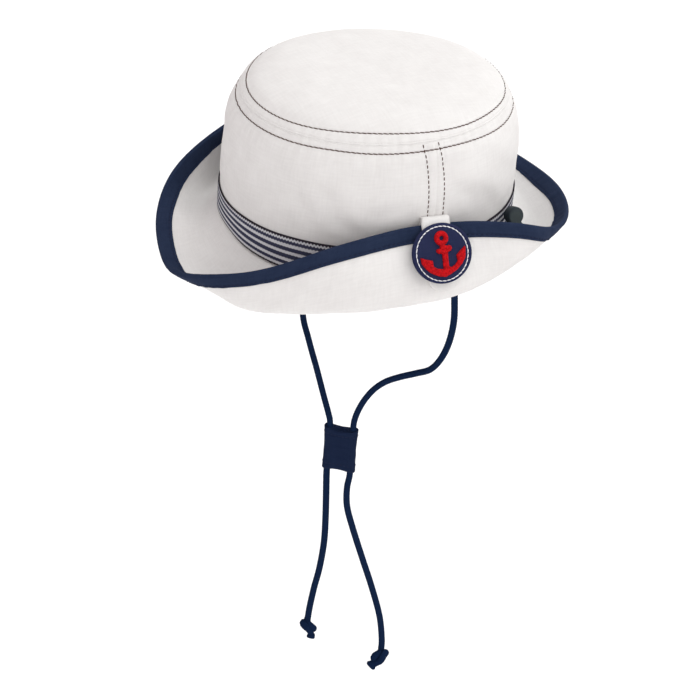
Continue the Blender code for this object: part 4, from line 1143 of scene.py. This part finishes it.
def build_binding():
    """The tape folded round the brim's edge. Its section is a line at even height from one hem
    over a half circle at the edge to the other hem, with a plump hem and a sunk stitch line, and
    back inside; it ripples slightly round the brim."""
    reach = BINDING_REACH
    inward = np.array([9.35, 9.3, 9.0, 8.6, 8.2, 7.8, 7.4, 6.9, 6.3, 5.4, 4.4, 3.4, 2.4, 1.6]) * MM
    height = np.array([0.80, 1.20, 1.50, 1.58, 1.60, 1.60, 1.60, 1.60, 1.60, 1.60, 1.60, 1.60, 1.60, 1.60]) * MM
    height = height + 0.14 * MM * hump(inward / MM - 8.9, 0.6) - 0.24 * MM * hump(inward / MM - 7.6, 0.5)
    height = height + 0.12 * MM * hump(inward / MM - 4.6, 2.2)
    turn = np.radians(np.linspace(90, -90, 11))[1:-1]
    nose_in, nose_up = reach - reach * np.cos(turn), reach * np.sin(turn)
    outer_in = np.concatenate([inward, nose_in, inward[::-1]])
    outer_up = np.concatenate([height, nose_up, -height[::-1]])
    inner_in = np.array([9.1, 6.0, 3.0, 2.2, 3.0, 6.0, 9.1]) * MM
    inner_up = np.array([-0.75, -0.8, -0.6, 0.0, 0.6, 0.8, 0.75]) * MM
    inward, height = np.concatenate([outer_in, inner_in]), np.concatenate([outer_up, inner_up])
    bearing = np.linspace(-180, 180, 640, endpoint=False)
    shown = np.append(np.ones(len(outer_in)), np.zeros(len(inner_in)))
    wide = tape_width(bearing[:, None], height[None, :])
    laid = np.where(inward > reach, reach + (inward - reach) * wide, inward)
    spot, normal, _ = on_brim(bearing, laid)
    ripple = puckers(np.radians(bearing)[:, None], 41, (71, 83, 97, 113, 131))
    ripple = ripple * 0.035 * MM * shown * np.sign(height) * hump(inward / MM - 5, 5)
    points = np.swapaxes(spot + (height + ripple)[..., None] * normal, 0, 1)
    walked = np.append(0, np.cumsum(np.hypot(np.diff(inward), np.diff(height))))
    flat = ring_flat(bearing, np.append(walked, walked[-1] + 1 * MM)) * [1.25, 1.0]
    piece = surface("edge_binding", points, NAVY_CLOTH, flat, loop_rows=True)
    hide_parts("brim_binding")
    for name, side in (("binding_stitches_upper", 1), ("binding_stitches_lower", -1)):
        row = reach + 6.0 * MM * tape_width(ROUND, side)
        spot, normal, _ = on_brim(ROUND, row[:, None], np.full((1, 1), side * 1.42 * MM))
        stitch_row(name, spot[:, 0], side * normal[:, 0], NAVY_THREAD, TAPE_STITCH)
    return piece


build_brim()
build_binding()


# Band, tab and badge


def build_band():
    """The striped band: a thin ring that lies on the crown's side, ribbed along its stripes, with
    a slightly wavering upper edge."""
    share = np.concatenate([[0.0, 0.008, 0.02], np.linspace(0.04, 0.98, 44), [1.0]])
    top = climb_to(BAND_TOP)
    wander = 0.25 * MM * waves(on_crown(ROUND_CROWN, top)[0], 51, 25 * MM, 60 * MM)
    climb = (top + wander[None, :]) * (1 - share[:, None])
    edge = np.minimum(share, 1 - share)
    lift = 0.25 * MM + 0.75 * MM * np.sqrt(np.clip(edge / 0.035, 0, 1)) + 0.06 * MM * np.cos(share * TURN * 5)
    face, _ = on_crown(ROUND_CROWN[None, :], climb, lift[:, None])
    back, _ = on_crown(ROUND_CROWN[None, :], climb[::-6], 0.15 * MM)
    share = np.concatenate([share, share[::-6], share[:1]])
    piece = surface("striped_band", np.concatenate([face, back]), STRIPED_CLOTH,
                    ring_flat(ROUND_CROWN, share), loop_rows=True)
    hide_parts("hat_band")
    return piece


def padded_strip(name, middle, thickness, finish, flat_size):
    """A flat strip of cloth round a grid of middle points: its section is the grid's row, lifted
    to both sides by half the thickness times the 0.4th power of one less the sixth power of the
    place across, so its sides are rounded."""
    rows, columns = middle.shape[:2]
    along = np.gradient(middle, axis=0)
    across = np.gradient(middle, axis=1)
    normal = unit(np.cross(across, along))
    place = np.linspace(-1, 1, columns)
    half = thickness / 2 * (1 - place**6) ** 0.4
    end = np.minimum(np.arange(rows), np.arange(rows)[::-1])
    half = half[None, :] * np.clip(np.sqrt((end + 0.35) / 2.5), 0, 1)[:, None]
    upper = middle + half[..., None] * normal
    lower = middle - half[..., None] * normal
    ring = np.concatenate([upper, lower[:, -2:0:-1]], axis=1)
    width, length = flat_size
    flat = flat_grid(np.linspace(0, 2 * width, ring.shape[1] + 1), np.linspace(0, length, rows))
    return surface(name, ring, finish, flat, poles=(middle[0].mean(0), middle[-1].mean(0)))


def tab_sheet(columns):
    """The tab's middle face: up the crown, over the brim's edge on a cubic curve, and down the
    outside of the brim, where its end is rounded."""
    half_turn = math.degrees(TAB_WIDTH / 2 / (CROWN_LENGTH / 2 + BINDING_REACH))
    bearing = np.linspace(TAB_BEARING - half_turn, TAB_BEARING + half_turn, columns)
    stand = GAP + TAB_CLOTH / 2
    share = np.concatenate([np.linspace(0.05, 0.8, 28), np.linspace(0.82, 0.997, 16)])
    drops = TAB_REACH * share
    edge, normal, edgeward = on_brim(bearing, np.tile(drops, (columns, 1)))
    bound = 1 - 0.35 * ease((drops - BINDING_DEPTH) / (3 * MM))
    outside = edge - ((BINDING_REACH + GAP) * bound + TAB_CLOTH / 2)[:, None] * normal
    middle_line = outside.mean(axis=0)
    taper = np.sqrt(np.clip(1 - np.clip((share - 0.76) / 0.24, 0, 1) ** 2.4, 0, 1))
    outside = middle_line + (outside - middle_line) * taper[:, None]
    low, high = BAND_TOP + 2 * GAP, float(edge[:, 0, 2].mean()) + TAB_RISE
    bearing = TAB_TOP_BEARING + 1.06 * (bearing - TAB_BEARING)
    tops = [climb_to(high + drop * MM) for drop in np.linspace(-0.6, -2.2, columns)]
    climbs = climb_to(low) + (np.array(tops) - climb_to(low)) * np.linspace(0, 1, 14)[:, None]
    leg, _ = on_crown(bearing[None, :], climbs, stand)
    knee, fall = leg[-1], outside[:, 0]
    rising = knee + TAB_LOFT * (0.7 * oval_outward(bearing) + [0, 0, 0.25])
    falling = fall + TAB_LOFT * edgeward[:, 0]
    share = np.linspace(0, 1, 18)[1:-1, None, None]
    first, second = 3 * share * (1 - share) ** 2, 3 * share**2 * (1 - share)
    over = (1 - share) ** 3 * knee + first * rising + second * falling + share**3 * fall
    return np.concatenate([leg, over, np.swapaxes(outside, 0, 1)])


def build_tab():
    """The white tab: a padded strip of cloth on the tab's middle face."""
    middle = tab_sheet(17)
    piece = padded_strip("side_tab_cloth", middle, TAB_CLOTH, WHITE_CLOTH, (TAB_WIDTH, 0.075))
    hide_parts("side_tab")
    return piece


def badge_frame():
    """The badge's place: its middle's back face, and its right, up and out axes."""
    point, normal, edgeward = on_brim(np.array([BADGE_BEARING]), np.array([[BADGE_DROP]]), relief=0.0)
    out = -normal[0, 0]
    up = unit(edgeward[0, 0] - out * np.dot(out, edgeward[0, 0]))
    middle = np.mean(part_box("badge_disc"), axis=0)
    return middle - out * BADGE_THICKNESS / 2, np.cross(up, out), up, out


def disc(profile, sides, frame_axes):
    """A turned form, a little wider than tall: rows of radius and height about the out axis."""
    origin, right, up, out = frame_axes
    turn = np.arange(sides) * (TURN / sides)
    wheel = np.cos(turn)[:, None] * right * BADGE_WIDENING + np.sin(turn)[:, None] * up
    radius, height = np.array(profile).T
    return origin + radius[:, None, None] * wheel + height[:, None, None] * out


def build_badge():
    """The padded round badge: a rolled rim, a sunk line under the ring of stitches and a slightly
    domed face."""
    axes = badge_frame()
    origin, right, up, out = axes
    radius, depth = BADGE_DIAMETER / 2, BADGE_THICKNESS
    ring = radius * 0.885
    rim = radius + 0.5 * MM
    roll = [(rim - depth / 2 + depth / 2 * math.cos(a), depth / 2 + depth / 2 * math.sin(a))
            for a in np.radians(np.linspace(-90, 90, 15))]
    inner = np.linspace(rim - depth / 2 - 0.3 * MM, 0.6 * MM, 26)
    face = [(r, depth - 0.10 * MM + 0.35 * MM * (1 - (r / ring) ** 2)) for r in inner]
    profile = np.array([(2 * MM, 0.0), (radius * 0.5, 0.0), *roll, *face])
    top = profile[:, 1] > depth / 2
    profile[:, 1] -= top * 0.45 * MM * hump((profile[:, 0] - ring) / MM, 0.55)
    points = disc(profile, 120, axes)
    beyond = (ease((profile[:, 0] - ring) / (1.5 * MM)) * MM)[:, None, None]
    rise = (0.20 - 0.75 * np.sin(np.arange(120) * TURN / 120))[:, None]
    points += beyond * (rise * up + 0.30 * right)
    spread = points - origin
    flat = np.stack([spread @ right, spread @ up], -1)
    flat = np.concatenate([flat, flat[:, :1]], 1)
    poles = (origin, origin + (depth + 0.25 * MM) * out)
    piece = surface("badge", points, BADGE_CLOTH, flat, poles=poles)
    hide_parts("badge_disc")
    line = disc([(ring, depth - 0.42 * MM)], 360, axes)[0]
    line = np.concatenate([line, line[:1]])
    away = np.tile(out, (len(line), 1))
    stitch_row("badge_stitches", line, away, WHITE_THREAD, BADGE_STITCH, sink=0.26, slant=0.10 * MM)
    return piece


def build_anchor():
    """The embroidered anchor: a height over the distance to its outline that rises steeply from
    the edge to an even top, roughened like loops of thread. Corners of the grid just outside the
    outline are moved onto it, so its edge is clean."""
    origin, right, up, out = badge_frame()
    x, y, radius, hole = (share * ANCHOR_HEIGHT for share in ANCHOR_RING)
    body = np.array(ANCHOR_OUTLINE) * ANCHOR_HEIGHT
    left = math.atan2(body[-1, 1] - y, body[-1, 0] - x)
    end = math.atan2(body[0, 1] - y, body[0, 0] - x) - TURN
    turn = np.linspace(left, end, 26)[1:-1]
    ring = np.stack([x + radius * np.cos(turn), y + radius * np.sin(turn)], 1)
    outline = np.concatenate([body, ring])
    step = 0.22 * MM
    lowest, highest = outline.min(0) - 2 * step, outline.max(0) + 2 * step
    gx, gy = np.arange(lowest[0], highest[0], step), np.arange(lowest[1], highest[1], step)
    spots = np.stack(np.meshgrid(gx, gy), -1)

    def inside_by(at):
        """How far inside the outline and outside the ring's hole a point lies: the distance to the
        nearest side, with its sign from how many sides lie to the point's right."""
        a, b = outline, np.roll(outline, -1, axis=0)
        edge, gap = b - a, at[..., None, :] - a
        share = np.clip((gap * edge).sum(-1) / (edge**2).sum(-1), 0, 1)
        away = np.linalg.norm(gap - share[..., None] * edge, axis=-1).min(-1)
        rising = (a[:, 1] <= at[..., None, 1]) != (b[:, 1] <= at[..., None, 1])
        reach = a[:, 0] + (at[..., None, 1] - a[:, 1]) / np.where(edge[:, 1] == 0, 1e-9, edge[:, 1]) * edge[:, 0]
        crossed = (rising & (at[..., None, 0] < reach)).sum(-1) % 2 == 1
        signed = np.where(crossed, away, -away)
        return np.minimum(signed, np.linalg.norm(at - [x, y], axis=-1) - hole)

    field = inside_by(spots)
    rows, columns = field.shape
    cell = (field[:-1, :-1] > -step * 0.4) & (field[1:, :-1] > -step * 0.4)
    cell &= (field[:-1, 1:] > -step * 0.4) & (field[1:, 1:] > -step * 0.4)
    used = np.zeros((rows + 1, columns + 1), bool)
    used[1:-1, 1:-1] = cell
    whole = used[1:, 1:] & used[:-1, 1:] & used[1:, :-1] & used[:-1, :-1]
    part = (used[1:, 1:] | used[:-1, 1:] | used[1:, :-1] | used[:-1, :-1]) & ~whole
    slope = np.stack([np.gradient(field, axis=1), np.gradient(field, axis=0)], -1) / step
    slope = slope / np.maximum(np.linalg.norm(slope, axis=-1, keepdims=True), 0.5)
    moved = np.where(part[..., None], spots - field[..., None] * slope, spots)
    field = np.where(whole, np.maximum(field, 0.05 * step), 0)
    tall = 1.25 * MM * np.clip(field / (0.9 * MM), 0, 1) ** 0.5
    flat3 = np.concatenate([moved, 0 * moved[..., :1]], -1)
    lumps = waves(flat3, 61, 1.0 * MM, 2.0 * MM, 40) * 0.26 * MM
    lumps = lumps + waves(flat3, 62, 0.5 * MM, 0.8 * MM, 30) * 0.10 * MM
    tall = np.where(whole, tall + lumps * np.clip(field / (0.5 * MM), 0, 1), 0)
    base = BADGE_THICKNESS + 0.10 * MM
    height = base + 0.30 * MM * (1 - (np.linalg.norm(moved, axis=-1) / (BADGE_DIAMETER / 2)) ** 2)
    lay = origin + (moved[..., :1] * BADGE_WIDENING - ANCHOR_ASIDE) * right + moved[..., 1:] * up
    top = lay + (height + tall)[..., None] * out
    below = lay + (height - 0.25 * MM * whole)[..., None] * out
    count = rows * columns
    r, c = np.nonzero(cell)
    quad = np.stack([r * columns + c, r * columns + c + 1, (r + 1) * columns + c + 1, (r + 1) * columns + c], 1)
    shared = np.where(whole.ravel(), np.arange(count) + count, np.arange(count))
    quads = np.concatenate([quad, shared[quad][:, ::-1]])
    points = np.concatenate([top.reshape(-1, 3), below.reshape(-1, 3)])
    kept, quads = np.unique(quads, return_inverse=True)
    piece = finish_piece("embroidered_anchor", points[kept], quads.reshape(-1, 4), [], RED_THREAD)
    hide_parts("badge_anchor")
    return piece


build_band()
build_tab()
build_badge()
build_anchor()


# Stopper and the cords' tabs


def build_stopper():
    """The moulded stopper: two round lobes joined at a waist, its edges rounded by rows that draw
    in towards the middle, and the thin string that runs through it."""
    bearing = np.array([STOPPER_BEARING])
    foot = oval_point(bearing)[0]
    foot[1] += CROWN_LEAN * STOPPER_HEIGHT / CROWN_RISE
    middle = foot + STOPPER_STANDOFF * oval_outward(bearing)[0] + [0, 0, STOPPER_HEIGHT]
    facing, tilt = math.radians(STOPPER_FACING), math.radians(STOPPER_TILT)
    out = np.array([math.cos(tilt) * math.sin(facing), -math.cos(tilt) * math.cos(facing), math.sin(tilt)])
    right = unit(np.cross(UP, out))
    up = np.cross(out, right)
    angle = np.arange(96) * (TURN / 96)
    lobe, apart = STOPPER_LOBE / 2 * 1.19, STOPPER_SPACING / 2 * 0.90
    middle = middle - 0.3 * MM * right
    lean = np.abs(np.sin(angle))
    reach = apart * lean + np.sqrt(np.maximum(lobe**2 - (apart * np.cos(angle)) ** 2, 0.0))
    reach = np.maximum(reach, lobe * 0.66)
    outline = np.stack([reach * np.cos(angle), reach * np.sin(angle)], 1)
    half = STOPPER_THICKNESS / 2
    soft = 1.3 * MM
    arc = np.radians(np.linspace(0, 90, 9))
    back = [(0.25, -half), (0.6, -half)]
    back += [(1 - (soft - soft * math.sin(a)) / lobe, -half + soft - soft * math.cos(a)) for a in arc]
    rows = np.array(back + [(share, -level) for share, level in back[::-1]])
    shares, levels = rows[:, 0], rows[:, 1, None, None]
    rings = shares[:, None, None] * outline
    points = middle + rings[..., :1] * right + rings[..., 1:] * up + levels * out
    flat = np.tile(shares[:, None, None], (1, len(angle) + 1, 2))
    piece = surface("stopper", points, STOPPER_FINISH, flat, poles=(middle - half * out, middle + half * out))
    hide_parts("cord_stopper")
    path = ((1.0, -1.9), (1.0, -0.6), (0.6, 0.1), (-0.2, 0.3), (-0.75, 0.75), (-0.95, 1.22), (-1.25, 1.22),
            (-1.35, 0.6), (-1.0, -0.4), (-1.0, -1.9))
    line = [middle + apart * rise * up + half * forward * out for rise, forward in path]
    string = braided_cord("stopper_string_braid", np.array(line), 1.8 * MM, NAVY_CORD)
    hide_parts("stopper_string")
    return piece


def build_cord_tabs():
    """The cloth tab inside each side of the crown that a cord is sewn to: a rounded block, which
    is a ball whose sines and cosines are squared off, stitched round its inner face."""
    for side, sign in (("left", 1), ("right", -1)):
        middle = np.mean(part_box(f"cord_tab_{side}"), axis=0)
        out = oval_outward(np.array([sign * CORD_TAB_BEARING]))[0]
        along = np.array([-out[1], out[0], 0.0])
        lat = np.radians(np.linspace(-84, 84, 25))[:, None]
        lon = (np.arange(40) * (TURN / 40))[None, :]
        x = 6.0 * MM * squared_off(np.cos(lat), 0.25) * squared_off(np.cos(lon), 0.25)
        y = 2.0 * MM * squared_off(np.cos(lat), 0.25) * squared_off(np.sin(lon), 0.5)
        z = 7.0 * MM * squared_off(np.sin(lat), 0.25) + 0 * lon
        points = middle + x[..., None] * along + y[..., None] * out + z[..., None] * UP
        flat = flat_grid(np.linspace(0, 28 * MM, 41), np.linspace(0, 14 * MM, 25))
        ends = (middle - 7.0 * MM * UP, middle + 7.0 * MM * UP)
        piece = surface(f"cord_loop_{side}", points, NAVY_CLOTH, flat, poles=ends)
        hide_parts(f"cord_tab_{side}")
        level = middle - out * 2.05 * MM
        corners = [(-4.5, -4.5), (4.5, -4.5), (4.5, 4.5), (-4.5, 4.5), (-4.5, -4.5)]
        line = even_line(np.array([level + a * MM * along + b * MM * UP for a, b in corners]), 0.4 * MM)
        stitch_row(f"cord_loop_stitches_{side}", line, np.tile(-out, (len(line), 1)), NAVY_THREAD, LOOP_STITCH)


build_stopper()
build_cord_tabs()
